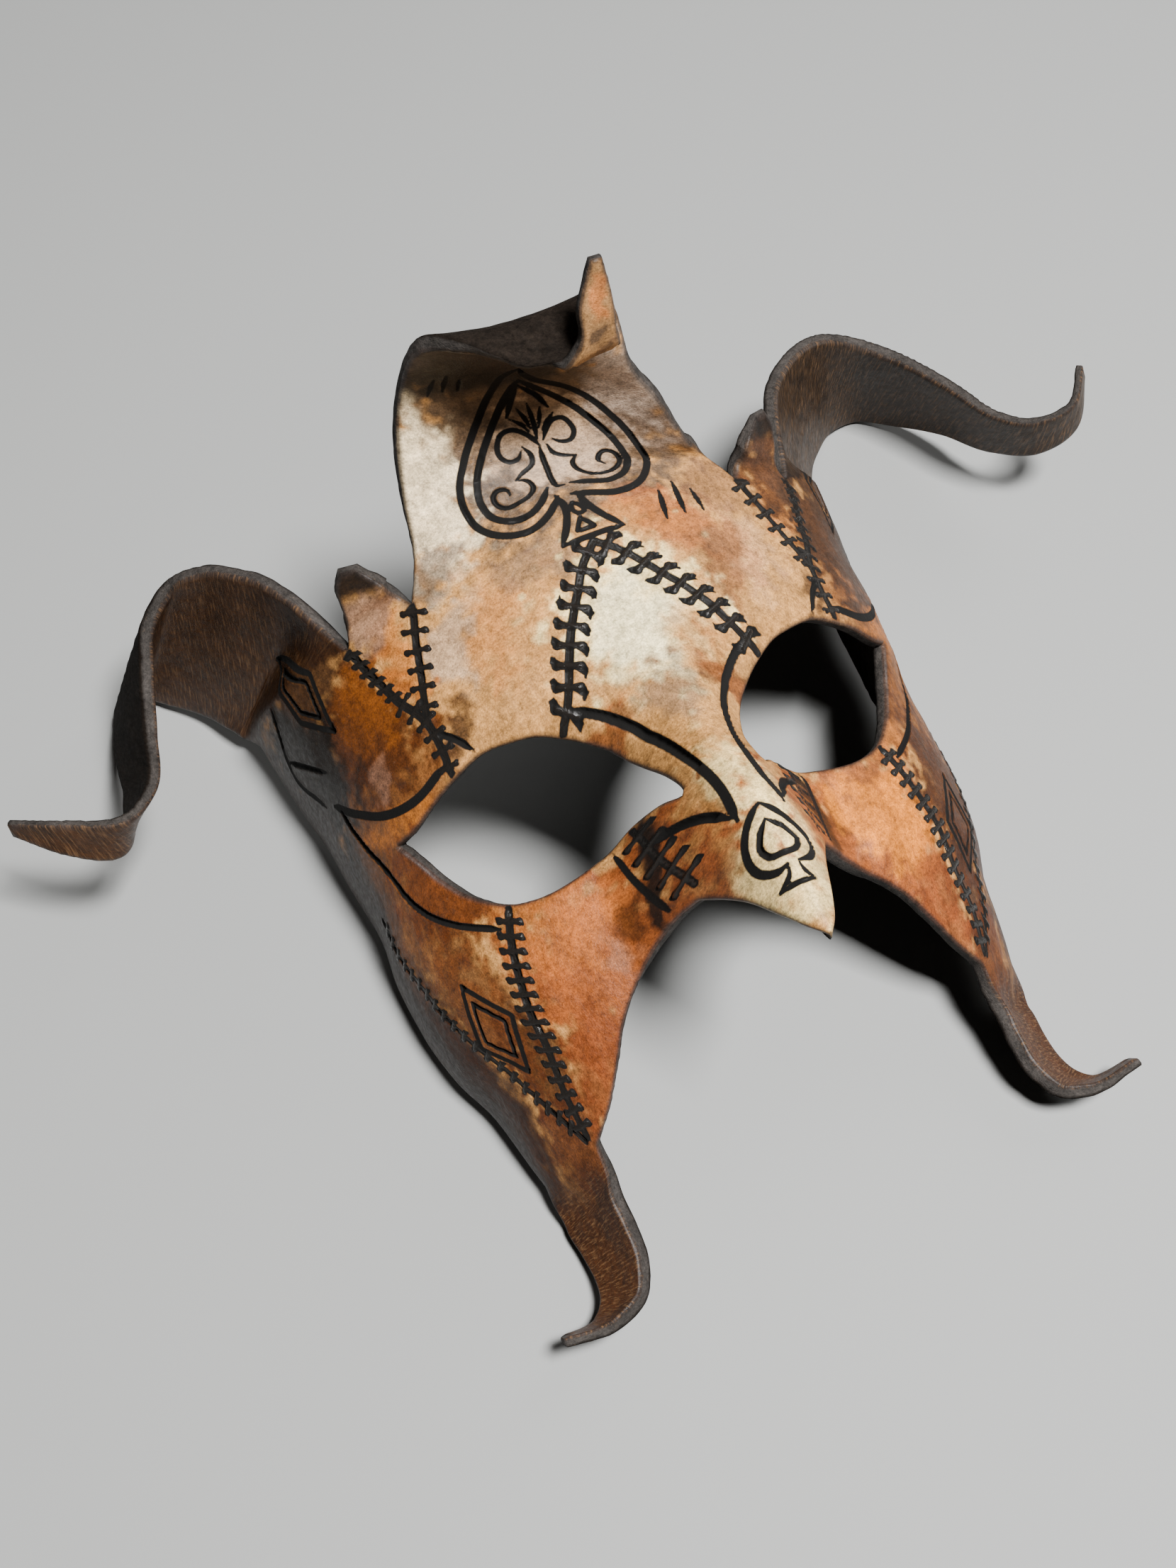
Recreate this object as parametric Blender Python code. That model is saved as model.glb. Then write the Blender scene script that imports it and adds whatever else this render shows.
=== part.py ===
"""Jester mask: one sheet of vegetable-tanned leather, cut from a flat pattern, wetted and formed, then carved.

The sheet is worked out in its flat pattern first (a across, v up, both in millimetres). A pattern place is then
carried onto the head form, or along the run of a strip (horn, ear, tail or hat peak) that leaves the face.
Blender 4.5, metres, +Z up, the mask lying face up on z = 0 with its nose side towards -Y, its outline centred on
x = 0 and y = 0.
"""

from math import asin, cos, hypot, pi, sin

import bmesh
import bpy
from mathutils import Vector, geometry, kdtree

MM = 0.001
EYES = 63.0            # eye-hole centres apart; a change makes the whole mask larger or smaller, but not thicker
DRAWN = 63.0           # the same distance as the tables below are drawn
LEATHER = 3.1          # leather thickness
THICK = LEATHER * DRAWN / EYES
ARC = 60.0             # pattern width of one radian round the head form
SQUARE = 0.78          # how square the cross-section is: 1 is an ellipse
GRID = 5.2             # mesh spacing on the face
STEP = 4.4             # spacing along edges and carved lines
ROW = 3.6              # spacing of rows along the strips

# the head form up the middle of the face: place v, value
CROWN = ((-80, 15), (-70, 17), (-64, 19.5), (-58, 24), (-52, 30.5), (-48, 34.5), (-43, 39), (-37, 42.5), (-30, 45),
         (-20, 47), (-11, 49), (-4, 50.5), (2, 54.5), (7, 61), (12, 67), (20, 70), (36, 71.5), (50, 73), (70, 75))
HALF = ((-80, 47.5), (-70, 49), (-60, 50.5), (-48, 52.8), (-36, 55), (-25, 59), (-14, 61), (-2, 61.5), (8, 60.8),
        (24, 62.3), (33, 63), (41, 64.5), (50, 66), (60, 67.5), (75, 70))
RIDGE = ((-60, 74), (-52, 76.5), (-40, 79), (-28, 79.5), (-20, 77.5), (-10, 74), (0, 72.3), (12, 71.5), (20, 71.6),
         (36, 72.5), (50, 74), (70, 76))
SPAN = ((-60, 17), (-45, 21), (-30, 25), (-16, 24.5), (-8, 21), (-2, 22), (2, 27), (6, 31), (12, 34), (36, 40),
        (70, 40))

# edge runs of the strips, root to tip: (upper edge, lower edge); side distance, place up the face, height
HORN_LEFT = (((50.2, 57, 55), (68.2, 64, 7)), ((54.4, 67.7, 54), (70, 69.5, 6)),
             ((58.7, 72.8, 53), (73, 75.5, 4.5)), ((65.4, 78.6, 50.5), (79.5, 83.2, 3)),
             ((73.4, 81.3, 45.8), (86, 88.6, 2.2)), ((80, 78, 41), (91.8, 86, 4)),
             ((84, 69.6, 37.6), (94.3, 78.2, 8)), ((87.7, 56.9, 36), (96.3, 65, 14.5)),
             ((91.6, 43.3, 38), (97.5, 50, 23.5)), ((98, 39.2, 39), (101, 38.9, 27.5)),
             ((108, 43.7, 37.8), (109, 41.2, 30)), ((117, 48.8, 36.5), (117, 47.8, 33.5)))
HORN_RIGHT = (((49.8, 57, 55), (68.2, 64, 7)), ((53.2, 66, 53), (70, 69.5, 6)), ((58, 72.5, 51), (74, 77, 4.5)),
              ((68, 80.7, 47), (79.5, 83.5, 3)), ((79.5, 86, 41), (87.5, 89.2, 2.2)),
              ((90, 85.8, 35), (96.5, 89.5, 2.2)), ((98.6, 79.5, 32), (104, 82, 4.5)),
              ((105, 69, 31), (109.8, 72, 9)), ((110.8, 57.1, 30), (114.5, 59, 14)),
              ((116, 51.8, 31), (120, 51.6, 18.5)), ((122.4, 50.1, 34), (127, 50.8, 23)),
              ((127.3, 55.8, 38.2), (129.7, 56.5, 33.5)))
EAR = (((36.9, 44.7, 66.4), (45.6, 46.3, 59.6)), ((38.4, 46.8, 67.9), (45.8, 48.9, 62.9)),
       ((40.2, 48.7, 69.5), (45.6, 50.5, 66.5)), ((41.8, 50.2, 70.5), (44, 51.1, 69.6)))
TAIL = (((40.3, -58.8, 15.5), (50.2, -58.5, 2)), ((39.8, -66.5, 12.8), (49.1, -66.5, 2)),
        ((40.6, -73.5, 11.3), (49.3, -72.5, 3)), ((44, -79.3, 10.3), (50.8, -76.3, 4)),
        ((49.5, -81.5, 10.3), (53.3, -78.8, 4.5)), ((60.7, -81, 13), (61, -79.6, 9.3)))
PEAK = (((-30.3, 49.4, 68.5), (28.9, 46.9, 68.5)), ((-28.7, 55.7, 75.5), (24.5, 49.5, 75.5)),
        ((-26.5, 62, 84), (20.5, 51.8, 84)),
        ((-24, 66.5, 92.5), (17, 54.7, 91.5)), ((-21.3, 67.5, 100.5), (15.2, 57, 99)),
        ((-18.4, 64.5, 107), (13.8, 60, 106.5)), ((-14, 57.5, 110), (12.8, 58.5, 111.3)),
        ((-9.4, 52.8, 108.9), (12.2, 54.4, 111)), ((-5, 50, 107.2), (11.5, 51.3, 109)),
        ((-0.2, 49.3, 107.1), (10.6, 49.8, 108.4)), ((2.6, 49.4, 109.9), (10, 49.6, 110.6)),
        ((3.6, 50.6, 117), (9.6, 50.3, 117)), ((6.5, 52.4, 125), (8.5, 52.3, 125)))

# one half of the pattern, nose to hat; the other half is its mirror
NOSE_EDGE = ((0, -52.2), (2.3, -50), (5.4, -45), (8.8, -38.5), (13.6, -31.6))
CHEEK_EDGE = ((13.6, -31.6), (17, -30.4), (21.5, -30.8), (28, -34), (34, -38), (40, -43.5), (46, -48), (55, -52.3))
SIDE_EDGE = ((87, -51.5), (89, -43), (90, -30), (91, -15), (92.3, -2), (91.5, 6), (92.5, 16), (92.6, 30), (92.3, 44),
             (90.5, 59.5))
EYE = ((63.5, 10.8), (57.5, 10), (49.5, 10.6), (42.5, 11.3), (36, 11.8), (30, 10.6), (24.5, 9), (20.3, 6.6),
       (16, 3.3), (12.2, -0.8), (9.8, -5.5), (8.2, -10), (8.1, -15.7), (11, -12.8), (15, -10.8), (20, -11.3),
       (27, -12.2), (34, -12), (41.5, -9.7), (48, -4.8), (54, 1.2), (59, 6.2))

# carved lines of one half: name, width, depth, closed, points
LINES = (
    ("centre seam", 1.9, 0.9, False, ((0, 36), (3.6, 32.5), (7, 27.5), (11, 21.5), (14.4, 15.5), (17.5, 10), (19.8, 7.4))),
    ("ear seam", 1.9, 0.9, False, ((32.8, 42.6), (36, 36.5), (38.7, 30), (41.8, 22.4))),
    ("horn seam", 2.2, 0.9, False, ((48.2, 44.2), (47.4, 38.5), (45.2, 30), (42, 22.2), (42, 17.5), (42.6, 12.6))),
    ("cheek seam", 1.9, 0.9, False, ((42, -10.6), (44.5, -15.5), (48.5, -24), (52.5, -33), (55.8, -42), (56.3, -50))),
    ("side seam", 1.5, 0.7, False, ((81.7, 6.9), (79.3, -0.4), (74.6, -11.2), (69, -27.7), (66, -37.3), (57.5, -50.6))),
    ("rim groove", 1.3, 0.8, False, ((17.3, 9.3), (12.7, 5.5), (8.7, 0.5), (6, -5.5), (4.2, -14), (3.7, -21), (4.4, -27.8))),
    ("nostril groove", 1.2, 0.7, False, ((5, -26.6), (7.8, -22.3), (10.2, -19.8), (14.2, -17.2))),
    ("temple groove", 1.4, 0.7, False, ((75.6, 29.3), (69.5, 22.8), (61.3, 16.2), (52.1, 13.4), (43.4, 14.2))),
    ("lid groove", 1.3, 0.7, False, ((74, 26.8), (72.2, 16), (68.2, 6.8), (61.5, -1), (55.3, -6.4), (45.5, -12.7))),
    ("brow groove", 1.1, 0.6, False, ((42.2, 20.5), (38.6, 16.5), (36.4, 13))),
    ("panel line", 1.1, 0.5, False, ((74.7, 54.3), (82.7, 43.7), (79, 31.8))),
    ("panel bar", 1.1, 0.5, False, ((81, 45.7), (71.3, 34.3))),
    ("nose seam", 1.8, 0.8, False, ((15.1, -11.8), (14.4, -20), (12.6, -29.4))),
    ("horn diamond", 1.2, 0.6, True, ((69.5, 61), (58.7, 48.6), (61.9, 36.7), (68.4, 44.7))),
    ("cheek diamond", 1.2, 0.6, True, ((61.8, -16.3), (54.4, -26.4), (61.9, -35.7), (68.3, -27.2))),
    ("spade", 1.4, 0.8, False, ((0.3, 80.5), (9, 71.5), (14, 65), (17, 58.5), (17.3, 52), (13.3, 45.7), (8.4, 43.9),
                                (4, 45.4), (1.1, 47.8))),
    ("spade inner", 1.2, 0.7, False, ((0.3, 75.2), (7, 67.5), (11.5, 61.5), (14, 56.5), (14, 52), (11.4, 48.4),
                                      (8.3, 47), (5.2, 48.4), (2.2, 51))),
    ("spade stem", 1.2, 0.7, False, ((1.1, 46.6), (2.4, 42), (5.8, 37.2))),
    ("scroll", 1.0, 0.6, False, ((1.4, 56.5), (2.2, 62), (5, 65.6), (7.6, 63.4), (6, 61))),
    ("scroll foot", 1.0, 0.6, False, ((3.4, 58), (7.8, 59.8), (11.6, 56.6), (10.2, 53), (7.6, 54.6))),
    ("nose spade", 1.2, 0.6, False, ((0.1, -27.6), (3.4, -31.2), (5.4, -35), (4.6, -38.4), (1.6, -39.2))),
    ("nose stem", 1.0, 0.5, False, ((1.2, -40.4), (2.9, -42.8))),
)
DIAMONDS = ("horn diamond", "cheek diamond")


def table(rows, t):
    """Value of a table of (place, value) at t, by a cubic that never overshoots."""
    last = len(rows) - 1
    if t <= rows[0][0]:
        return rows[0][1]
    if t >= rows[last][0]:
        return rows[last][1]
    k = 0
    while t > rows[k + 1][0]:
        k += 1

    def rate(i):
        return (rows[i + 1][1] - rows[i][1]) / (rows[i + 1][0] - rows[i][0])

    def slope(i):
        if i == 0:
            return rate(0)
        if i == last:
            return rate(last - 1)
        below = rate(i - 1)
        above = rate(i)
        return 0.0 if below * above <= 0 else 2 * below * above / (below + above)

    span = rows[k + 1][0] - rows[k][0]
    r = (t - rows[k][0]) / span
    square = r * r
    cube = square * r
    value = (2 * cube - 3 * square + 1) * rows[k][1] + (cube - 2 * square + r) * slope(k) * span
    return value + (3 * square - 2 * cube) * rows[k + 1][1] + (cube - square) * slope(k + 1) * span


def lengths(points):
    """Run lengths from the first point to each point."""
    out = [0.0]
    for k in range(1, len(points)):
        out.append(out[-1] + (points[k] - points[k - 1]).length)
    return out


def curve(points, knots, t):
    """Point at run length t of a smooth run through points whose run lengths are the knots."""
    last = len(points) - 1
    t = max(knots[0], min(knots[last], t))
    k = 0
    while k < last - 1 and t > knots[k + 1]:
        k += 1

    def rate(i):
        return (points[i + 1] - points[i]) / (knots[i + 1] - knots[i])

    def slope(i):
        if i == 0:
            return rate(0)
        if i == last:
            return rate(last - 1)
        before = knots[i] - knots[i - 1]
        after = knots[i + 1] - knots[i]
        return (rate(i - 1) * after + rate(i) * before) / (before + after)

    span = knots[k + 1] - knots[k]
    r = (t - knots[k]) / span
    square = r * r
    cube = square * r
    point = (2 * cube - 3 * square + 1) * points[k] + (cube - 2 * square + r) * span * slope(k)
    return point + (3 * square - 2 * cube) * points[k + 1] + (cube - square) * span * slope(k + 1)


def smooth(x):
    x = max(0.0, min(1.0, x))
    return x * x * (3 - 2 * x)


def face(q):
    """Place on the head form of pattern place q."""
    angle = max(-1.62, min(1.62, q[0] / ARC))
    height = table(CROWN, q[1])
    x = table(HALF, q[1]) * sin(angle)
    c = cos(angle)
    z = height * abs(c) ** SQUARE * (1 if c >= 0 else -1)
    across = min(1.0, abs(x) / table(SPAN, q[1]))
    z += (table(RIDGE, q[1]) - height) * cos(pi * across / 2) ** 2
    return Vector((x, q[1], z))


class Strip:
    """A strip of the sheet that leaves the face along a root line and follows two edge runs."""

    def __init__(self, side, root, rows, lean, crown, blend, outer, lift=((0, 0), (1, 0))):
        self.side = side
        self.root = [Vector(p) for p in root]
        self.upper = [face(self.root[0])] + [Vector((r[0][0] * side, r[0][1], r[0][2])) for r in rows]
        self.lower = [face(self.root[1])] + [Vector((r[1][0] * side, r[1][1], r[1][2])) for r in rows]
        self.crown = crown
        self.lift = lift
        self.blend = blend
        self.outer = outer
        self.run = [0.0]
        for k in range(len(rows)):
            middle = (self.upper[k + 1] + self.lower[k + 1] - self.upper[k] - self.lower[k]) / 2
            self.run.append(self.run[-1] + middle.length)
        self.length = self.run[-1]
        self.middle = (self.root[0] + self.root[1]) / 2
        self.root_width = (self.root[1] - self.root[0]).length
        self.across = (self.root[1] - self.root[0]) / self.root_width
        self.along = Vector(lean).normalized()
        self.scale = self.root_width / (self.upper[0] - self.lower[0]).length

    def edges(self, s):
        return curve(self.upper, self.run, s), curve(self.lower, self.run, s)

    def width(self, s):
        upper, lower = self.edges(s)
        return max(0.5, self.scale * (upper - lower).length)

    def pattern(self, s, t):
        return self.middle + self.along * s + self.across * ((t - 0.5) * self.width(s))

    def local(self, q):
        p = Vector((q[0], q[1])) - self.middle
        turn = self.along.x * self.across.y - self.along.y * self.across.x
        s = (p.x * self.across.y - p.y * self.across.x) / turn
        k = (self.along.x * p.y - self.along.y * p.x) / turn
        return s, 0.5 + k / self.width(s)

    def place(self, q):
        s, t = self.local(q)
        upper, lower = self.edges(s)
        ahead = self.edges(s + 0.5 if s < self.length - 0.5 else self.length)
        back = self.edges(s - 0.5 if s < self.length - 0.5 else self.length - 1)
        forward = ahead[0].lerp(ahead[1], t) - back[0].lerp(back[1], t)
        normal = (lower - upper).cross(forward)
        if normal.length > 1e-9:
            normal.normalize()
        share = s / self.length
        bow = normal * table(self.crown, share) + Vector((0, 0, table(self.lift, share)))
        point = upper.lerp(lower, t) + bow * (1 - (2 * t - 1) ** 2)
        weight = smooth(s / self.blend)
        return face(q).lerp(point, weight) if weight < 1 else point


def strips():
    made = []
    for side, rows in ((-1, HORN_LEFT), (1, HORN_RIGHT)):
        made.append(Strip(side, ((48.4 * side, 45.2), (90.5 * side, 59.5)), rows, (0.3 * side, 1),
                          ((0, -7.0 * side), (0.08, -3.5 * side), (0.2, -0.5 * side), (1, 0)), 12,
                          ((0, 0), (0.14, 1), (1, 1))))
        made.append(Strip(side, ((33 * side, 43.5), (48.4 * side, 45.2)), EAR, (0, 1),
                          ((0, -0.8 * side), (1, -0.3 * side)), 7, ((0, 0), (1, 0))))
        made.append(Strip(side, ((55 * side, -52.3), (87 * side, -51.5)), TAIL, (0, -1),
                          ((0, 2.5 * side), (0.3, side), (1, 0)), 10, ((0, 0), (0.3, 1), (1, 1))))
    made.append(Strip(1, ((-33, 43.5), (33, 43.5)), PEAK, (0, 1),
                      ((0, 0), (0.1, -1), (0.19, -2.5), (0.29, -3.5), (0.42, -1.5), (0.55, 1.5), (0.75, 0), (1, 0)),
                      12, ((0, 0), (0.3, 0), (0.5, 1), (1, 1)),
                      ((0, 9.4), (0.05, 7.3), (0.1, 5.2), (0.145, 3.4), (0.19, 1.9), (0.24, 0.6), (0.29, 0), (1, 0))))
    return made


class Sheet:
    """The whole sheet: from a pattern place to the outer and inner leather surface."""

    def __init__(self):
        self.strips = strips()
        self.cuts = carved_lines()
        self.tree = None
        self.segments = []
        for width, depth, points in self.cuts:
            for k in range(len(points) - 1):
                self.segments.append((points[k], points[k + 1], width, depth, k == 0 and points[0] != points[-1]))
        self.tree = kdtree.KDTree(len(self.segments))
        for i, (p, q, _, _, _) in enumerate(self.segments):
            self.tree.insert((*((p + q) / 2), 0), i)
        self.tree.balance()

    def strip_at(self, q):
        for strip in self.strips:
            s, t = strip.local(q)
            if 0 < s <= strip.length + 0.01 and -0.02 <= t <= 1.02:
                return strip, s
        return None, 0.0

    def normal(self, q, strip):
        place = strip.place if strip else face
        h = 0.3
        east = place(q + Vector((h, 0))) - place(q - Vector((h, 0)))
        north = place(q + Vector((0, h))) - place(q - Vector((0, h)))
        return east.cross(north).normalized()

    def depth(self, q):
        deepest = 0.0
        for _, i, _ in self.tree.find_n((q[0], q[1], 0), 10):
            p, r, width, depth, _ = self.segments[i]
            run = r - p
            k = max(0.0, min(1.0, (q - p).dot(run) / run.length_squared))
            off = (q - p - run * k).length
            deepest = max(deepest, depth * (1 - off / (width / 2)))
        return deepest

    def points(self, q):
        strip, s = self.strip_at(q)
        point = strip.place(q) if strip else face(q)
        normal = self.normal(q, strip)
        thick = THICK
        shift = 0.0
        if strip:
            shift = table(strip.outer, s / strip.length)
            thick = THICK * (1 - 0.42 * smooth((s / strip.length - 0.5) / 0.5))
        return point + normal * thick * shift, point - normal * thick * (1 - shift), normal


def resample(points, step, closed=False):
    """Evenly spaced places along a smooth curve through pattern points."""
    run = [Vector(p) for p in points]
    if closed:
        run.append(run[0])
    fine = run
    if not closed and len(run) > 2:
        knots = lengths(run)
        fine = [curve(run, knots, knots[-1] * k / (len(run) * 12)) for k in range(len(run) * 12 + 1)]
    total = lengths(fine)
    count = max(2, round(total[-1] / step))
    marks = [total[-1] * k / count for k in range(count + 1)]
    if closed:
        marks = sorted(set(marks[1:-1]) | set(total))
        marks = [m for i, m in enumerate(marks) if m in total or all(abs(m - x) > step * 0.35 for x in total)]
    out = []
    k = 0
    for mark in marks:
        while k < len(total) - 2 and mark > total[k + 1]:
            k += 1
        out.append(fine[k].lerp(fine[k + 1], (mark - total[k]) / max(1e-9, total[k + 1] - total[k])))
    return out


def mirrored(points):
    return [Vector((-p[0], p[1])) for p in points]


def carved_lines():
    """Every carved line as width, depth and evenly spaced places."""
    out = []
    for name, width, depth, closed, points in LINES:
        run = resample(points, STEP * (0.6 if "scroll" in name else 0.85), closed)
        out.append((width, depth, run))
        out.append((width, depth, mirrored(run)))
        if name in DIAMONDS:
            middle = sum((Vector(p) for p in points), Vector((0, 0))) / len(points)
            inner = resample([middle + (Vector(p) - middle) * 0.62 for p in points], STEP, True)
            out.append((width * 0.8, depth * 0.8, inner))
            out.append((width * 0.8, depth * 0.8, mirrored(inner)))
    return out


def strip_rows(strip, row):
    count = max(3, round(strip.length / row))
    return [strip.length * k / count for k in range(1, count + 1)]


def half_outline(sheet, side):
    """Outline of one half from the nose tip to the peak root, run away from the nose."""
    horn, ear, tail = [s for s in sheet.strips if s.side == side][:3]

    def edges(strip, first, last):
        rows = strip_rows(strip, ROW)
        out = [strip.pattern(s, first) for s in rows]
        return out + [strip.pattern(s, last) for s in reversed(rows)]

    def half(points):
        run = resample(points, STEP)
        return run if side > 0 else mirrored(run)

    out = half(NOSE_EDGE)[1:-1] + half(CHEEK_EDGE) + edges(tail, 0, 1) + half(SIDE_EDGE)
    return out + edges(horn, 1, 0) + [horn.root[0]] + edges(ear, 1, 0) + [ear.root[0]]


def outline(sheet):
    peak = sheet.strips[-1]
    rows = strip_rows(peak, ROW * 0.8)
    right = half_outline(sheet, 1)
    left = half_outline(sheet, -1)
    loop = [Vector(NOSE_EDGE[0])] + right + [peak.pattern(s, 1) for s in rows]
    return loop + [peak.pattern(s, 0) for s in reversed(rows)] + list(reversed(left))


def inside(q, loop):
    odd = False
    for k in range(len(loop)):
        p = loop[k - 1]
        r = loop[k]
        if (p[1] > q[1]) != (r[1] > q[1]) and q[0] < (r[0] - p[0]) * (q[1] - p[1]) / (r[1] - p[1]) + p[0]:
            odd = not odd
    return odd


def beside(points, off, closed):
    """The run of places beside a carved line."""
    out = []
    last = len(points) - 1
    for k, p in enumerate(points):
        before = points[k - 1] if k > 0 else (points[last - 1] if closed else points[0])
        after = points[k + 1] if k < last else (points[1] if closed else points[last])
        run = (after - before).normalized()
        out.append(p + Vector((-run.y, run.x)) * off)
    return out


def fill_points(sheet, loops, lines, grid, row):
    """Places inside the outline, clear of every edge and carved line."""
    marks = [p for loop in loops for p in loop]
    for line in lines:
        for k in range(len(line) - 1):
            marks.extend((line[k], (line[k] + line[k + 1]) / 2))
        marks.append(line[-1])
    tree = kdtree.KDTree(len(marks))
    for i, p in enumerate(marks):
        tree.insert((p[0], p[1], 0), i)
    tree.balance()
    out = []

    def offer(q, clear):
        if tree.find((q[0], q[1], 0))[2] > clear and inside(q, loops[0]) and not any(inside(q, h) for h in loops[1:]):
            out.append(q)

    for j in range(int(122 / (grid * 0.866)) + 1):
        v = -54 + j * grid * 0.866
        for i in range(int(190 / grid) + 1):
            q = Vector((-95 + (i + 0.5 * (j % 2)) * grid, v))
            if sheet.strip_at(q)[0] is None:
                offer(q, grid * 0.5)
    for strip in sheet.strips:
        rows = [s for s in strip_rows(strip, row)][:-1]
        for j, s in enumerate(rows):
            count = max(1, round(strip.width(s) / grid))
            for i in range(1, count):
                offer(strip.pattern(s, i / count), min(row, grid) * 0.42)
    return out


def triangulate(loops, lines, extra):
    """Triangles of the pattern that keep every edge and carved line."""
    places = []
    edges = []
    for loop in loops:
        start = len(places)
        places.extend(loop)
        edges.extend((start + k, start + (k + 1) % len(loop)) for k in range(len(loop)))
    rim = len(places)
    for line in lines:
        start = len(places)
        places.extend(line)
        edges.extend((start + k, start + k + 1) for k in range(len(line) - 1))
    places.extend(extra)
    found = geometry.delaunay_2d_cdt([Vector((p[0], p[1])) for p in places], edges, [], 0, 1e-5, True)
    verts, _, faces, origin = found[0], found[1], found[2], found[3]
    place_of = {}
    for new, old in enumerate(origin):
        for o in old:
            place_of[o] = new
    keep = []
    for f in faces:
        middle = (verts[f[0]] + verts[f[1]] + verts[f[2]]) / 3
        if inside(middle, loops[0]) and not any(inside(middle, hole) for hole in loops[1:]):
            keep.append(tuple(f))
    return verts, keep, [place_of[k] for k in range(rim)]


def build_mask():
    sheet = Sheet()
    loops = [outline(sheet)]
    for side in (1, -1):
        eye = resample(EYE + EYE[:1], STEP)[:-1]
        loops.append(eye if side > 0 else mirrored(eye))
    cuts = []
    for width, depth, points in sheet.cuts:
        closed = points[0] == points[-1]
        for off in (-width / 2, 0, width / 2):
            run = beside(points, off, closed)
            cuts.append(run if closed else (run[1:-1] if off else run))
    outer_fill = fill_points(sheet, loops, cuts, GRID, ROW)
    inner_fill = fill_points(sheet, loops, [], GRID * 1.2, ROW * 1.1)
    verts, outer_faces, outer_rim = triangulate(loops, cuts, outer_fill)
    inner_verts, inner_faces, inner_rim = triangulate(loops, [], inner_fill)
    mesh = bmesh.new()
    outer = []
    for q in verts:
        out, _, normal = sheet.points(Vector(q))
        outer.append(mesh.verts.new((out - normal * max(0.0, sheet.depth(Vector(q)))) * MM))
    inner = [mesh.verts.new(sheet.points(Vector(q))[1] * MM) for q in inner_verts]
    for f in outer_faces:
        mesh.faces.new([outer[i] for i in f])
    for f in inner_faces:
        mesh.faces.new([inner[i] for i in reversed(f)])
    start = 0
    for loop in loops:
        count = len(loop)
        for k in range(count):
            a = start + k
            b = start + (k + 1) % count
            quad = (outer[outer_rim[a]], outer[outer_rim[b]], inner[inner_rim[b]], inner[inner_rim[a]])
            mesh.faces.new(quad[:3])
            mesh.faces.new((quad[0], quad[2], quad[3]))
        start += count
    loose = [v for v in mesh.verts if not v.link_faces]
    bmesh.ops.delete(mesh, geom=loose, context="VERTS")
    bmesh.ops.recalc_face_normals(mesh, faces=mesh.faces)
    if mesh.calc_volume(signed=True) < 0:
        bmesh.ops.reverse_faces(mesh, faces=mesh.faces)
    return mesh


def main():
    for obj in list(bpy.data.objects):
        bpy.data.objects.remove(obj, do_unlink=True)
    mesh = build_mask()
    low = [min(v.co[i] for v in mesh.verts) for i in range(3)]
    high = [max(v.co[i] for v in mesh.verts) for i in range(3)]
    stand = Vector(((low[0] + high[0]) / 2, (low[1] + high[1]) / 2, low[2]))
    for v in mesh.verts:
        v.co = (v.co - stand) * (EYES / DRAWN)
    data = bpy.data.meshes.new("mask")
    mesh.to_mesh(data)
    mesh.free()
    obj = bpy.data.objects.new("mask", data)
    bpy.context.scene.collection.objects.link(obj)
    material = bpy.data.materials.new("leather")
    material.use_nodes = True
    shader = material.node_tree.nodes["Principled BSDF"]
    shader.inputs["Base Color"].default_value = (0.36, 0.19, 0.09, 1)
    shader.inputs["Roughness"].default_value = 0.5
    data.materials.append(material)


main()
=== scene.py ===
"""The looks of a jester half mask: one sheet of vegetable-tanned leather, formed wet, carved, dyed and inked.

The sheet is drawn in its flat pattern, a across and v up, in millimetres. A pattern place is carried onto
the head form, or along the run of a strip (horn, ear, tail or hat peak) that leaves the face. The carving
lowers or raises the grain side there, and the dye work colours it, a few of its washes being painted
shadow and highlight. The mask lies face up, nose towards -Y.
"""

import logging
import math
from dataclasses import dataclass, field, replace
from enum import Enum

import bpy
import numpy as np
from mathutils import Matrix, Vector, geometry, kdtree, noise


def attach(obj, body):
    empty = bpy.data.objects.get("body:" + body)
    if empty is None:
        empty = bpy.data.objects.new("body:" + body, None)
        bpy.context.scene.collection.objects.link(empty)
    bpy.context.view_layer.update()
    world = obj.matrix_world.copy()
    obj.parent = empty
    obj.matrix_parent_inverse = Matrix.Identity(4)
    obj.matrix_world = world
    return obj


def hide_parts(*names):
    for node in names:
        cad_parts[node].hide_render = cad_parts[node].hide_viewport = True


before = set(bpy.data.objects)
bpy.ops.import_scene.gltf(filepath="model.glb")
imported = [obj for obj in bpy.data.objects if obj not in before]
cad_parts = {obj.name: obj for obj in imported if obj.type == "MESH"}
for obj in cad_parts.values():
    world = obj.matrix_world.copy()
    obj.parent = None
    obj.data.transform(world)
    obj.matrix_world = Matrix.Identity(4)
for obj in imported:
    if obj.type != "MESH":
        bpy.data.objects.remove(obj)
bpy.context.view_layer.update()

Array = np.ndarray
Points = tuple[tuple[float, ...], ...]
log = logging.getLogger("jester mask")

MM = 0.001
LEATHER = 3.1                                   # leather thickness, mm
ORIGIN = np.array((6.4543, 4.0917, 1.5454))     # where the frame's origin lies in the drawing, mm
SEED_SHIFT = np.array((7.31, 3.17, 1.0))        # how far each step of a seed moves the noise, in lumps
NOISE_GAIN = 1.6                                # brings the noise to about -1 to 1
CURVE_SAMPLES = 16                              # places read for each point of a run, to measure it


def smooth(x: Array) -> Array:
    """Eases from 0 to 1.

    Args:
        x: Values, of which those below 0 and above 1 are held.

    Returns:
        The eased values.
    """
    x = np.clip(x, 0.0, 1.0)
    return x * x * (3 - 2 * x)


def unit(v: Array) -> Array:
    """Rows of v at length 1.

    Args:
        v: Vectors, one a row.

    Returns:
        The same directions at length 1.
    """
    return v / np.maximum(np.linalg.norm(v, axis=1, keepdims=True), 1e-9)


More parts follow.
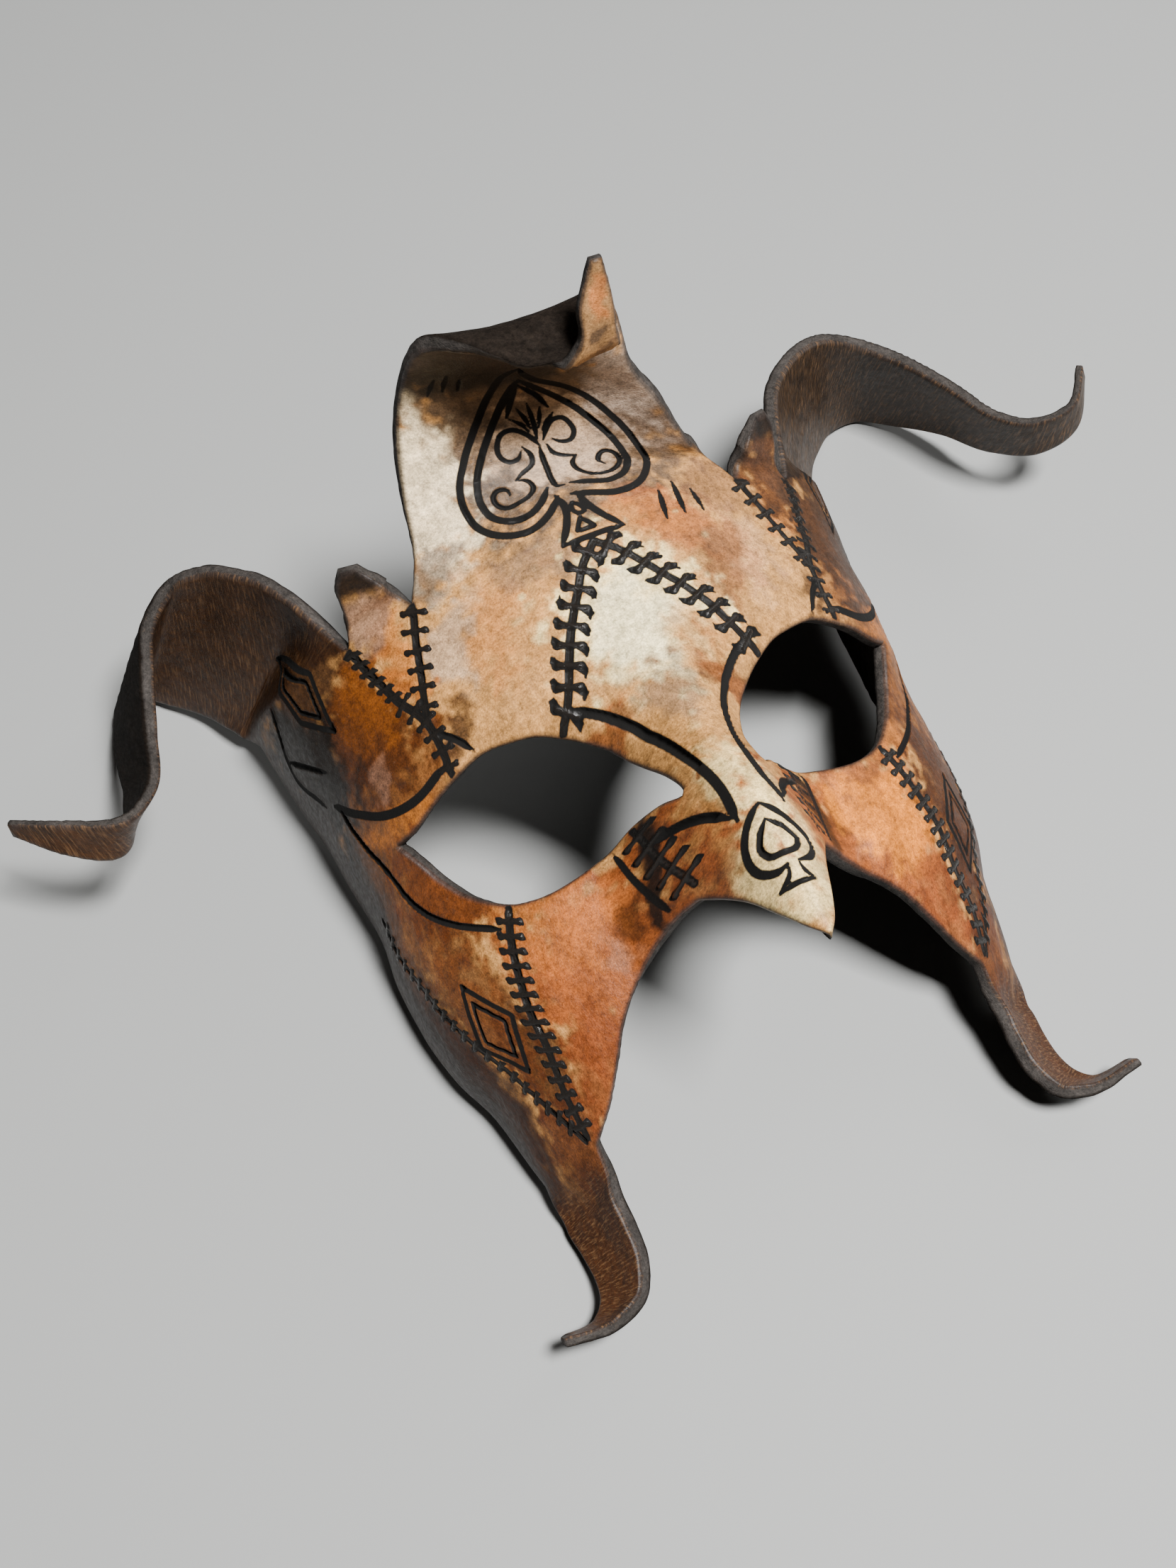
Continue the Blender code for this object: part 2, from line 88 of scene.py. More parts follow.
def ripple(q: Array, size: float, seed: float) -> Array:
    """Seeded smooth noise over the pattern.

    Args:
        q: Places, two or three numbers a row, mm.
        size: Size of one lump, mm.
        seed: Shifts the noise, so that two calls differ.

    Returns:
        Values from about -1 to 1.
    """
    scaled = np.zeros((len(q), 3))
    scaled[:, : q.shape[1]] = q / size
    scaled += seed * SEED_SHIFT
    return np.array([noise.noise(Vector(p)) for p in scaled]) * NOISE_GAIN


@dataclass(frozen=True)
class Profile:
    """A value that runs smoothly through (place, value) rows and never overshoots them."""

    rows: Points

    def at(self, t: Array) -> Array:
        """Reads the profile.

        Args:
            t: Places along it.

        Returns:
            The value at each place.
        """
        x, y = np.array(self.rows, float).T
        rate = np.diff(y) / np.diff(x)
        product = rate[:-1] * rate[1:]
        total = rate[:-1] + rate[1:]
        inner = np.where(product > 0, 2 * product / np.where(total == 0, 1, total), 0)
        slope = np.concatenate((rate[:1], inner, rate[-1:]))
        return hermite(x, y[:, None], slope[:, None], t)[:, 0]


def hermite(x: Array, y: Array, slope: Array, t: Array) -> Array:
    """Cubic through the values y at places x with the slopes there, read at t.

    Args:
        x: Places, rising.
        y: Values, one row a place.
        slope: Slopes, one row a place.
        t: Places to read at.

    Returns:
        One row for each of t.
    """
    t = np.clip(np.asarray(t, float), x[0], x[-1])
    k = np.clip(np.searchsorted(x, t, side="left") - 1, 0, len(x) - 2)
    span = (x[k + 1] - x[k])[:, None]
    r = (t - x[k])[:, None] / span
    square = r * r
    cube = square * r
    value = (2 * cube - 3 * square + 1) * y[k] + (cube - 2 * square + r) * span * slope[k]
    return value + (3 * square - 2 * cube) * y[k + 1] + (cube - square) * span * slope[k + 1]


class Run:
    """A smooth run through points, read by its length."""

    def __init__(self, points: Array, knots: Array | None = None) -> None:
        """Lays the run.

        Args:
            points: The points, two or three numbers a row.
            knots: Run length at each point, or None to measure it along the points.
        """
        self.points = np.array(points, float)
        steps = np.linalg.norm(np.diff(self.points, axis=0), axis=1)
        self.knots = np.concatenate(((0.0,), np.cumsum(steps))) if knots is None else np.array(knots, float)
        gaps = np.diff(self.knots)[:, None]
        rate = np.diff(self.points, axis=0) / gaps
        inner = (rate[:-1] * gaps[1:] + rate[1:] * gaps[:-1]) / (gaps[:-1] + gaps[1:])
        self.slopes = np.concatenate((rate[:1], inner, rate[-1:]))

    def at(self, t: Array) -> Array:
        """Points of the run at run lengths t."""
        return hermite(self.knots, self.points, self.slopes, t)

    def evenly(self, step: float) -> Array:
        """Evenly spaced points along the run.

        Args:
            step: Wanted distance between them, mm.

        Returns:
            The points, both ends among them.
        """
        fine = self.at(np.linspace(0, self.knots[-1], len(self.points) * CURVE_SAMPLES + 1))
        return evenly(fine, step)


def evenly(fine: Array, step: float) -> Array:
    """Evenly spaced points along straight pieces.

    Args:
        fine: The corners.
        step: Wanted distance, mm.

    Returns:
        The points, both ends among them.
    """
    total = np.concatenate(((0.0,), np.cumsum(np.linalg.norm(np.diff(fine, axis=0), axis=1))))
    marks = np.linspace(0, total[-1], max(2, round(total[-1] / step)) + 1)
    return np.stack([np.interp(marks, total, fine[:, i]) for i in range(fine.shape[1])], axis=1)


@dataclass(frozen=True)
class HeadForm:
    """The form that the wet leather was pressed over; profiles run up the face."""

    crown: Profile = Profile((
        (-80, 15), (-70, 17), (-64, 19.5), (-58, 24), (-52, 30.5), (-48, 34.5), (-43, 39), (-37, 42.5),
        (-30, 45), (-20, 47), (-11, 49), (-4, 50.5), (2, 54.5), (7, 61), (12, 67), (20, 70), (36, 71.5),
        (50, 73), (70, 75)))
    half: Profile = Profile((
        (-80, 47.5), (-70, 49), (-60, 50.5), (-48, 52.8), (-36, 55), (-25, 59), (-14, 61), (-2, 61.5),
        (8, 60.8), (24, 62.3), (33, 63), (41, 64.5), (50, 66), (60, 67.5), (75, 70)))
    ridge: Profile = Profile((
        (-60, 74), (-52, 76.5), (-40, 79), (-28, 79.5), (-20, 77.5), (-10, 74), (0, 72.3), (12, 71.5),
        (20, 71.6), (36, 72.5), (50, 74), (70, 76)))
    span: Profile = Profile((
        (-60, 17), (-45, 21), (-30, 25), (-16, 24.5), (-8, 21), (-2, 22), (2, 27), (6, 31), (12, 34),
        (36, 40), (70, 40)))
    arc: float = 60.0           # pattern width that turns the sheet by one radian, mm
    square: float = 0.78        # below 1, the section is squarer than an ellipse
    furthest: float = 1.62      # largest turn from the middle, radians

    def place(self, q: Array) -> Array:
        """Carries pattern places onto the form.

        Args:
            q: Pattern places, mm.

        Returns:
            Places in the drawing, mm.
        """
        angle = np.clip(q[:, 0] / self.arc, -self.furthest, self.furthest)
        height = self.crown.at(q[:, 1])
        x = self.half.at(q[:, 1]) * np.sin(angle)
        c = np.cos(angle)
        z = height * np.abs(c) ** self.square * np.where(c >= 0, 1, -1)
        across = np.minimum(1.0, np.abs(x) / self.span.at(q[:, 1]))
        z = z + (self.ridge.at(q[:, 1]) - height) * np.cos(math.pi * across / 2) ** 2
        return np.stack((x, q[:, 1], z), axis=1)


class Part(Enum):
    """The parts of the one sheet."""

    FACE = "face"
    HORN = "horn"
    EAR = "ear"
    TAIL = "tail"
    PEAK = "peak"


@dataclass
class Strip:
    """A strip of the sheet that leaves the face along a root line and follows two edge runs, root to tip."""

    part: Part
    side: int
    form: HeadForm
    root: Points
    rows: tuple
    lean: tuple[float, float]
    crown: Profile
    outer: Profile
    blend: float                # run length over which it leaves the face, mm
    lift: Profile = Profile(((0, 0), (1, 0)))
    narrowest: float = 0.5      # least pattern width, mm
    feeler: float = 0.5         # half the run over which its direction is read, mm

    def __post_init__(self) -> None:
        """Works out the edge runs, their length and the pattern's scale."""
        self.ends = np.array(self.root, float)
        first = self.form.place(self.ends)
        edges = np.array(self.rows, float) * (self.side, 1, 1)
        upper = np.concatenate((first[:1], edges[:, 0]))
        lower = np.concatenate((first[1:], edges[:, 1]))
        steps = np.linalg.norm(np.diff(upper + lower, axis=0), axis=1) / 2
        run = np.concatenate(((0.0,), np.cumsum(steps)))
        self.upper, self.lower, self.length = Run(upper, run), Run(lower, run), float(run[-1])
        self.middle = self.ends.mean(axis=0)
        root_width = np.linalg.norm(self.ends[1] - self.ends[0])
        self.across = (self.ends[1] - self.ends[0]) / root_width
        self.along = np.array(self.lean) / np.linalg.norm(self.lean)
        self.scale = root_width / np.linalg.norm(first[0] - first[1])

    def width(self, s: Array) -> Array:
        """Pattern width at run length s, mm."""
        gap = np.linalg.norm(self.upper.at(s) - self.lower.at(s), axis=1)
        return np.maximum(self.narrowest, self.scale * gap)

    def pattern(self, s: Array, t: Array | float) -> Array:
        """Pattern places at run length s and share t across."""
        s = np.asarray(s, float)
        off = ((t - 0.5) * self.width(s))[:, None]
        return self.middle + self.along * s[:, None] + self.across * off

    def local(self, q: Array) -> tuple[Array, Array, Array]:
        """Where pattern places lie on the strip.

        Args:
            q: Pattern places, mm.

        Returns:
            Run length, share across, and how far outside the strip's edges each is, mm.
        """
        p = q - self.middle
        turn = self.along[0] * self.across[1] - self.along[1] * self.across[0]
        s = (p[:, 0] * self.across[1] - p[:, 1] * self.across[0]) / turn
        k = (self.along[0] * p[:, 1] - self.along[1] * p[:, 0]) / turn
        width = self.width(s)
        t = 0.5 + k / width
        return s, t, np.maximum(0, np.abs(t - 0.5) - 0.5) * width

    def place(self, q: Array) -> Array:
        """Carries pattern places onto the strip's run.

        Args:
            q: Pattern places, mm.

        Returns:
            Places in the drawing, mm.
        """
        s, t, _ = self.local(q)
        t = t[:, None]
        upper, lower = self.upper.at(s), self.lower.at(s)
        inside = s < self.length - self.feeler
        ahead = np.where(inside, s + self.feeler, self.length)
        back = np.where(inside, s - self.feeler, self.length - 2 * self.feeler)
        forward = (self.upper.at(ahead) - self.upper.at(back)) * (1 - t)
        forward = forward + (self.lower.at(ahead) - self.lower.at(back)) * t
        normal = unit(np.cross(lower - upper, forward))
        share = s / self.length
        bow = normal * self.crown.at(share)[:, None] + np.outer(self.lift.at(share), (0, 0, 1))
        point = upper + (lower - upper) * t + bow * (1 - (2 * t - 1) ** 2)
        weight = smooth(s / self.blend)[:, None]
        return self.form.place(q) * (1 - weight) + point * weight


HORN_LEFT = (
    ((50.2, 57, 55), (68.2, 64, 7)), ((54.4, 67.7, 54), (70, 69.5, 6)),
    ((58.7, 72.8, 53), (73, 75.5, 4.5)), ((65.4, 78.6, 50.5), (79.5, 83.2, 3)),
    ((73.4, 81.3, 45.8), (86, 88.6, 2.2)), ((80, 78, 41), (91.8, 86, 4)),
    ((84, 69.6, 37.6), (94.3, 78.2, 8)), ((87.7, 56.9, 36), (96.3, 65, 14.5)),
    ((91.6, 43.3, 38), (97.5, 50, 23.5)), ((98, 39.2, 39), (101, 38.9, 27.5)),
    ((108, 43.7, 37.8), (109, 41.2, 30)), ((117, 48.8, 36.5), (117, 47.8, 33.5)))
HORN_RIGHT = (
    ((49.8, 57, 55), (68.2, 64, 7)), ((53.2, 66, 53), (70, 69.5, 6)), ((58, 72.5, 51), (74, 77, 4.5)),
    ((68, 80.7, 47), (79.5, 83.5, 3)), ((79.5, 86, 41), (87.5, 89.2, 2.2)),
    ((90, 85.8, 35), (96.5, 89.5, 2.2)), ((98.6, 79.5, 32), (104, 82, 4.5)),
    ((105, 69, 31), (109.8, 72, 9)), ((110.8, 57.1, 30), (114.5, 59, 14)),
    ((116, 51.8, 31), (120, 51.6, 18.5)), ((122.4, 50.1, 34), (127, 50.8, 23)),
    ((127.3, 55.8, 38.2), (129.7, 56.5, 33.5)))
EAR = (
    ((36.9, 44.7, 66.4), (45.6, 46.3, 59.6)), ((38.4, 46.8, 67.9), (45.8, 48.9, 62.9)),
    ((40.2, 48.7, 69.5), (45.6, 50.5, 66.5)), ((41.8, 50.2, 70.5), (44, 51.1, 69.6)))
TAIL = (
    ((40.3, -58.8, 15.5), (50.2, -58.5, 2)), ((39.8, -66.5, 12.8), (49.1, -66.5, 2)),
    ((40.6, -73.5, 11.3), (49.3, -72.5, 3)), ((44, -79.3, 10.3), (50.8, -76.3, 4)),
    ((49.5, -81.5, 10.3), (53.3, -78.8, 4.5)), ((60.7, -81, 13), (61, -79.6, 9.3)))
PEAK = (
    ((-30.3, 49.4, 68.5), (28.9, 46.9, 68.5)), ((-28.7, 55.7, 75.5), (24.5, 49.5, 75.5)),
    ((-26.5, 62, 84), (20.5, 51.8, 84)), ((-24, 66.5, 92.5), (17, 54.7, 91.5)),
    ((-21.3, 67.5, 100.5), (15.2, 57, 99)), ((-18.4, 64.5, 107), (13.8, 60, 106.5)),
    ((-14, 57.5, 110), (12.8, 58.5, 111.3)), ((-9.4, 52.8, 108.9), (12.2, 54.4, 111)),
    ((-5, 50, 107.2), (11.5, 51.3, 109)), ((-0.2, 49.3, 107.1), (10.6, 49.8, 108.4)),
    ((2.6, 49.4, 109.9), (10, 49.6, 110.6)), ((3.6, 50.6, 117), (9.6, 50.3, 117)),
    ((6.5, 52.4, 125), (8.5, 52.3, 125)))


@dataclass
class Blank:
    """The flat blank: the sheet's outline with its eye holes, and where each pattern place comes to lie."""

    form: HeadForm = field(default_factory=HeadForm)
    nose_edge: Points = ((0, -52.2), (2.3, -50), (5.4, -45), (8.8, -38.5), (13.6, -31.6))
    cheek_edge: Points = (
        (13.6, -31.6), (17, -30.4), (21.5, -30.8), (28, -34), (34, -38), (40, -43.5), (46, -48),
        (55, -52.3))
    side_edge: Points = (
        (87, -51.5), (89, -43), (90, -30), (91, -15), (92.3, -2), (91.5, 6), (92.5, 16), (92.6, 30),
        (92.3, 44), (90.5, 59.5))
    eye_edge: Points = (
        (63.5, 10.8), (57.5, 10), (49.5, 10.6), (42.5, 11.3), (36, 11.8), (30, 10.6), (24.5, 9),
        (20.3, 6.6), (16, 3.3), (12.2, -0.8), (9.8, -5.5), (8.2, -10), (8.1, -15.7), (11, -12.8),
        (15, -10.8), (20, -11.3), (27, -12.2), (34, -12), (41.5, -9.7), (48, -4.8), (54, 1.2), (59, 6.2))
    ear_foot: tuple[float, float] = (33, 43.5)
    horn_foot: tuple[float, float] = (48.4, 45.2)
    horn_end: tuple[float, float] = (90.5, 59.5)
    tail_feet: Points = ((55, -52.3), (87, -51.5))
    catch: float = 1.2          # how far outside its edges a strip still takes a place, mm
    overrun: float = 0.5        # and how far past its tip, mm
    feeler: float = 0.35        # half the span over which the surface's slope is read, mm
    thinning: float = 0.42      # share of the leather that a strip has lost at its tip

    def __post_init__(self) -> None:
        """Lays the seven strips."""
        self.strips = [strip for side in (-1, 1) for strip in self.side_strips(side)]
        root = (self.mirrored(self.ear_foot, -1), self.ear_foot)
        crown = Profile((
            (0, 0), (0.1, -1), (0.19, -2.5), (0.29, -3.5), (0.42, -1.5), (0.55, 1.5), (0.75, 0), (1, 0)))
        lift = Profile((
            (0, 9.4), (0.05, 7.3), (0.1, 5.2), (0.145, 3.4), (0.19, 1.9), (0.24, 0.6), (0.29, 0), (1, 0)))
        outer = Profile(((0, 0), (0.3, 0), (0.5, 1), (1, 1)))
        self.strips.append(Strip(Part.PEAK, 1, self.form, root, PEAK, (0, 1), crown, outer, blend=12,
                                 lift=lift))

    @staticmethod
    def mirrored(p: tuple[float, float], side: int) -> tuple[float, float]:
        """The pattern place on that side of the face."""
        return p[0] * side, p[1]

    def side_strips(self, side: int) -> list[Strip]:
        """Lays the strips of one side.

        Args:
            side: -1 for the left in the picture, 1 for the right.

        Returns:
            Horn, ear and tail.
        """
        ear, horn, end = (self.mirrored(p, side) for p in (self.ear_foot, self.horn_foot, self.horn_end))
        feet = tuple(self.mirrored(p, side) for p in self.tail_feet)
        rows = HORN_LEFT if side < 0 else HORN_RIGHT
        bow = Profile(((0, -7.0 * side), (0.08, -3.5 * side), (0.2, -0.5 * side), (1, 0)))
        ear_bow = Profile(((0, -0.8 * side), (1, -0.3 * side)))
        tail_bow = Profile(((0, 2.5 * side), (0.3, side), (1, 0)))
        horn_outer = Profile(((0, 0), (0.14, 1), (1, 1)))
        tail_outer = Profile(((0, 0), (0.3, 1), (1, 1)))
        plain = Profile(((0, 0), (1, 0)))
        return [
            Strip(Part.HORN, side, self.form, (horn, end), rows, (0.3 * side, 1), bow, horn_outer, blend=12),
            Strip(Part.EAR, side, self.form, (ear, horn), EAR, (0, 1), ear_bow, plain, blend=7),
            Strip(Part.TAIL, side, self.form, feet, TAIL, (0, -1), tail_bow, tail_outer, blend=10)]

    def find(self, part: Part, side: int) -> Strip:
        """The strip of that part and side."""
        return next(s for s in self.strips if s.part is part and s.side == side)

    def owner(self, q: Array) -> Array:
        """Which strip each pattern place is on.

        Args:
            q: Pattern places, mm.

        Returns:
            Index in strips, or -1 on the face.
        """
        best = np.full(len(q), self.catch)
        found = np.full(len(q), -1)
        for i, strip in enumerate(self.strips):
            s, _, out = strip.local(q)
            out = np.where((s > 0) & (s < strip.length + self.overrun), out, math.inf)
            closer = out < best
            best[closer] = out[closer]
            found[closer] = i
        return found

    def place(self, q: Array, owner: Array) -> Array:
        """Carries pattern places to the drawing.

        Args:
            q: Pattern places, mm.
            owner: The strip of each, as owner() gives it.

        Returns:
            Places of the stations' surface, mm.
        """
        out = np.zeros((len(q), 3))
        for i in range(-1, len(self.strips)):
            here = owner == i
            if here.any():
                out[here] = (self.strips[i] if i >= 0 else self.form).place(q[here])
        return out

    def surfaces(self, q: Array) -> tuple[Array, Array, Array]:
        """Carries pattern places to both sides of the leather.

        Args:
            q: Pattern places, mm.

        Returns:
            Points of the grain side, outward normals, and the leather's thickness there, mm.
        """
        owner = self.owner(q)
        h = self.feeler
        east = self.place(q + (h, 0), owner) - self.place(q - (h, 0), owner)
        north = self.place(q + (0, h), owner) - self.place(q - (0, h), owner)
        normal = unit(np.cross(east, north))
        thick = np.full(len(q), LEATHER)
        shift = np.zeros(len(q))
        for i, strip in enumerate(self.strips):
            here = owner == i
            if here.any():
                share = strip.local(q[here])[0] / strip.length
                shift[here] = strip.outer.at(share)
                thick[here] = LEATHER * (1 - self.thinning * smooth((share - 0.5) / 0.5))
        point = self.place(q, owner)
        return point + normal * (thick * shift)[:, None], normal, thick

    def outline(self, step: float) -> list[Array]:
        """The loops of the blank.

        Args:
            step: Distance between points, mm.

        Returns:
            The outer loop, anticlockwise, and the two eye holes, clockwise.
        """
        peak = self.strips[-1]
        rows = np.linspace(0, peak.length, round(peak.length / step) + 1)[1:]
        right, left = self.half_outline(1, step), self.half_outline(-1, step)
        loop = np.concatenate((np.array(self.nose_edge[:1], float), right, peak.pattern(rows, 1.0),
                               peak.pattern(rows[::-1], 0.0), left[::-1]))
        loops = [loop]
        for side in (1, -1):
            eye = Run(np.array(self.eye_edge + self.eye_edge[:1])).evenly(step)[:-1]
            loops.append(eye * (side, 1))
        return [turned(loops[0], True)] + [turned(eye, False) for eye in loops[1:]]

    def half_outline(self, side: int, step: float) -> Array:
        """Outline of one side, run away from the nose tip to the hat's root.

        Args:
            side: -1 or 1.
            step: Distance between points, mm.

        Returns:
            The points, without the nose tip.
        """
        horn, ear, tail = (self.find(part, side) for part in (Part.HORN, Part.EAR, Part.TAIL))

        def edges(strip: Strip, first: float, last: float) -> Array:
            """Both edges of a strip, up one and down the other."""
            rows = np.linspace(0, strip.length, round(strip.length / step) + 1)[1:]
            return np.concatenate((strip.pattern(rows, first), strip.pattern(rows[::-1], last)))

        nose = Run(np.array(self.nose_edge)).evenly(step)[1:-1] * (side, 1)
        cheek = Run(np.array(self.cheek_edge)).evenly(step) * (side, 1)
        flank = Run(np.array(self.side_edge)).evenly(step) * (side, 1)
        return np.concatenate((nose, cheek, edges(tail, 0.0, 1.0), flank, edges(horn, 1.0, 0.0),
                               horn.ends[:1], edges(ear, 1.0, 0.0), ear.ends[:1]))


def turned(loop: Array, anticlockwise: bool) -> Array:
    """The loop run in the wanted direction.

    Args:
        loop: Its points.
        anticlockwise: Whether it should run anticlockwise.

    Returns:
        The loop, reversed if need be.
    """
    after = np.roll(loop, -1, axis=0)
    area = (loop[:, 0] * after[:, 1] - after[:, 0] * loop[:, 1]).sum()
    return loop if (area > 0) == anticlockwise else loop[::-1]


class Style(Enum):
    """How a carved line is worked."""

    LINE = "cut and bevelled"
    SEAM = "groove with a raised lace in it"


class Knot(Enum):
    """Kinds of carved stitch: pits, then the lace, each a stroke of (across, along, radius), mm."""

    HOOK = ((((-3.0, 2.0, 0.1), (-2.85, 0.95, 0.6), (-2.2, 0.15, 0.9), (-1.0, 0.0, 0.55)),
             ((1.0, 0.0, 0.55), (2.1, -0.2, 0.9), (2.85, -1.0, 0.65), (3.05, -2.3, 0.1))),
            ((-2.0, 0.1, 0.34), (0, 0, 0.42), (2.0, -0.1, 0.34)))
    BAR = ((((-2.9, 0.5, 0.3), (-2.3, 0.1, 0.72), (-1.2, 0.0, 0.4)), ((1.2, 0.0, 0.4), (2.3, -0.1, 0.72),
            (2.9, -0.5, 0.3))), ((-2.35, 0.1, 0.3), (-1, 0, 0.55), (1, 0, 0.55), (2.35, -0.1, 0.3)))
    LINK = ((((-2.1, 1.5, 0.15), (-1.4, 0.5, 0.5)), ((1.4, -0.5, 0.5), (2.1, -1.5, 0.15))),
            ((-1.7, 1.0, 0.3), (0, 0, 0.5), (1.7, -1.0, 0.3)))
    TUCK = ((((-1.5, 0.5, 0.3), (-1.0, 0, 0.5)), ((1.0, 0, 0.5), (1.5, -0.5, 0.3))),
            ((-1.2, 0.1, 0.3), (0, 0, 0.5), (1.2, -0.1, 0.3)))


@dataclass(frozen=True)
class Cut:
    """A carved line of the pattern."""

    name: str
    width: float
    depth: float
    points: Points
    closed: bool = False
    both: bool = True
    straight: bool = False
    style: Style = Style.LINE
    knot: Knot | None = None
    pitch: float = 4.0
    first: float = 2.0
    size: float = 1.0

    def runs(self, step: float) -> list[Array]:
        """The line's points, and those of its mirror image.

        Args:
            step: Distance between points, mm.

        Returns:
            One or two runs of points.
        """
        points = np.array(self.points + (self.points[:1] if self.closed else ()), float)
        run = evenly(points, step) if self.straight or len(points) < 3 else Run(points).evenly(step)
        return [run, run * (-1, 1)] if self.both else [run]


PAIRED_CUTS = (
    Cut("centre seam", 1.4, 0.85,
        ((0, 36), (3.6, 32.5), (7, 27.5), (11, 21.5), (14.4, 15.5), (17.5, 10), (19.8, 7.4)),
        style=Style.SEAM, knot=Knot.HOOK, pitch=3.75, first=2.6),
    Cut("ear seam", 1.4, 0.85,
        ((32.8, 42.6), (36, 36.5), (38.7, 30), (41.8, 22.4)),
        style=Style.SEAM, knot=Knot.BAR, pitch=3.6, first=1.2, size=0.9),
    Cut("horn braid", 1.5, 0.9,
        ((48.2, 44.2), (47.4, 38.5), (45.2, 30)),
        style=Style.SEAM, knot=Knot.LINK, pitch=2.5, first=0.8, size=0.85),
    Cut("horn seam", 1.5, 0.85,
        ((45.2, 30), (42, 22.2), (42, 17.5), (42.6, 12.6)),
        style=Style.SEAM, knot=Knot.BAR, pitch=3.1, first=1.5, size=0.85),
    Cut("cheek seam", 1.6, 0.85,
        ((42, -10.6), (44.5, -15.5), (48.5, -24), (52.5, -33), (55.8, -42), (56.3, -50)),
        style=Style.SEAM, knot=Knot.BAR, pitch=2.75, first=2.0),
    Cut("side seam", 1.2, 0.7,
        ((81.7, 6.9), (79.3, -0.4), (74.6, -11.2), (69, -27.7), (66, -37.3), (57.5, -50.6)),
        style=Style.SEAM, knot=Knot.TUCK, pitch=3.0, first=2.0),
    Cut("nose seam", 0.9, 0.8,
        ((15.1, -11.8), (14.4, -20), (12.6, -29.4)),
        style=Style.SEAM, knot=Knot.BAR, pitch=3.3, first=2.2, size=0.95),
    Cut("nose line", 0.9, 0.8, ((19.2, -12.2), (18.4, -20), (16.8, -29.2))),
    Cut("rim groove", 1.3, 0.8,
        ((17.3, 9.3), (12.7, 5.5), (8.7, 0.5), (6, -5.5), (4.2, -14), (3.7, -21), (4.4, -27.8))),
    Cut("nostril groove", 1.3, 0.75, ((5, -26.6), (7.8, -22.3), (10.2, -19.8), (14.2, -17.2))),
    Cut("temple groove", 1.4, 0.7,
        ((75.6, 29.3), (69.5, 22.8), (61.3, 16.2), (52.1, 13.4), (43.4, 14.2))),
    Cut("lid groove", 1.2, 0.7,
        ((74, 26.8), (72.2, 16), (68.2, 6.8), (61.5, -1), (55.3, -6.4), (45.5, -12.7))),
    Cut("brow groove", 1.2, 0.6, ((42.2, 20.5), (38.6, 16.5), (36.4, 13))),
    Cut("panel line", 1.0, 0.5, ((74.7, 54.3), (82.7, 43.7), (79, 31.8))),
    Cut("panel bar", 1.0, 0.55, ((81, 45.7), (71.3, 34.3)), straight=True),
    Cut("horn diamond", 1.0, 0.6,
        ((69.5, 61), (58.7, 48.6), (61.9, 36.7), (68.4, 44.7)), closed=True, straight=True),
    Cut("horn diamond inner", 0.9, 0.55,
        ((67.6, 56.1), (60.9, 48.4), (62.9, 41), (66.9, 46)), closed=True, straight=True),
    Cut("cheek diamond", 1.0, 0.6,
        ((61.8, -16.3), (54.4, -26.4), (61.9, -35.7), (68.3, -27.2)), closed=True, straight=True),
    Cut("cheek diamond inner", 0.9, 0.55,
        ((61.8, -20), (57, -26.4), (61.8, -32.3), (65.9, -26.9)), closed=True, straight=True),
)
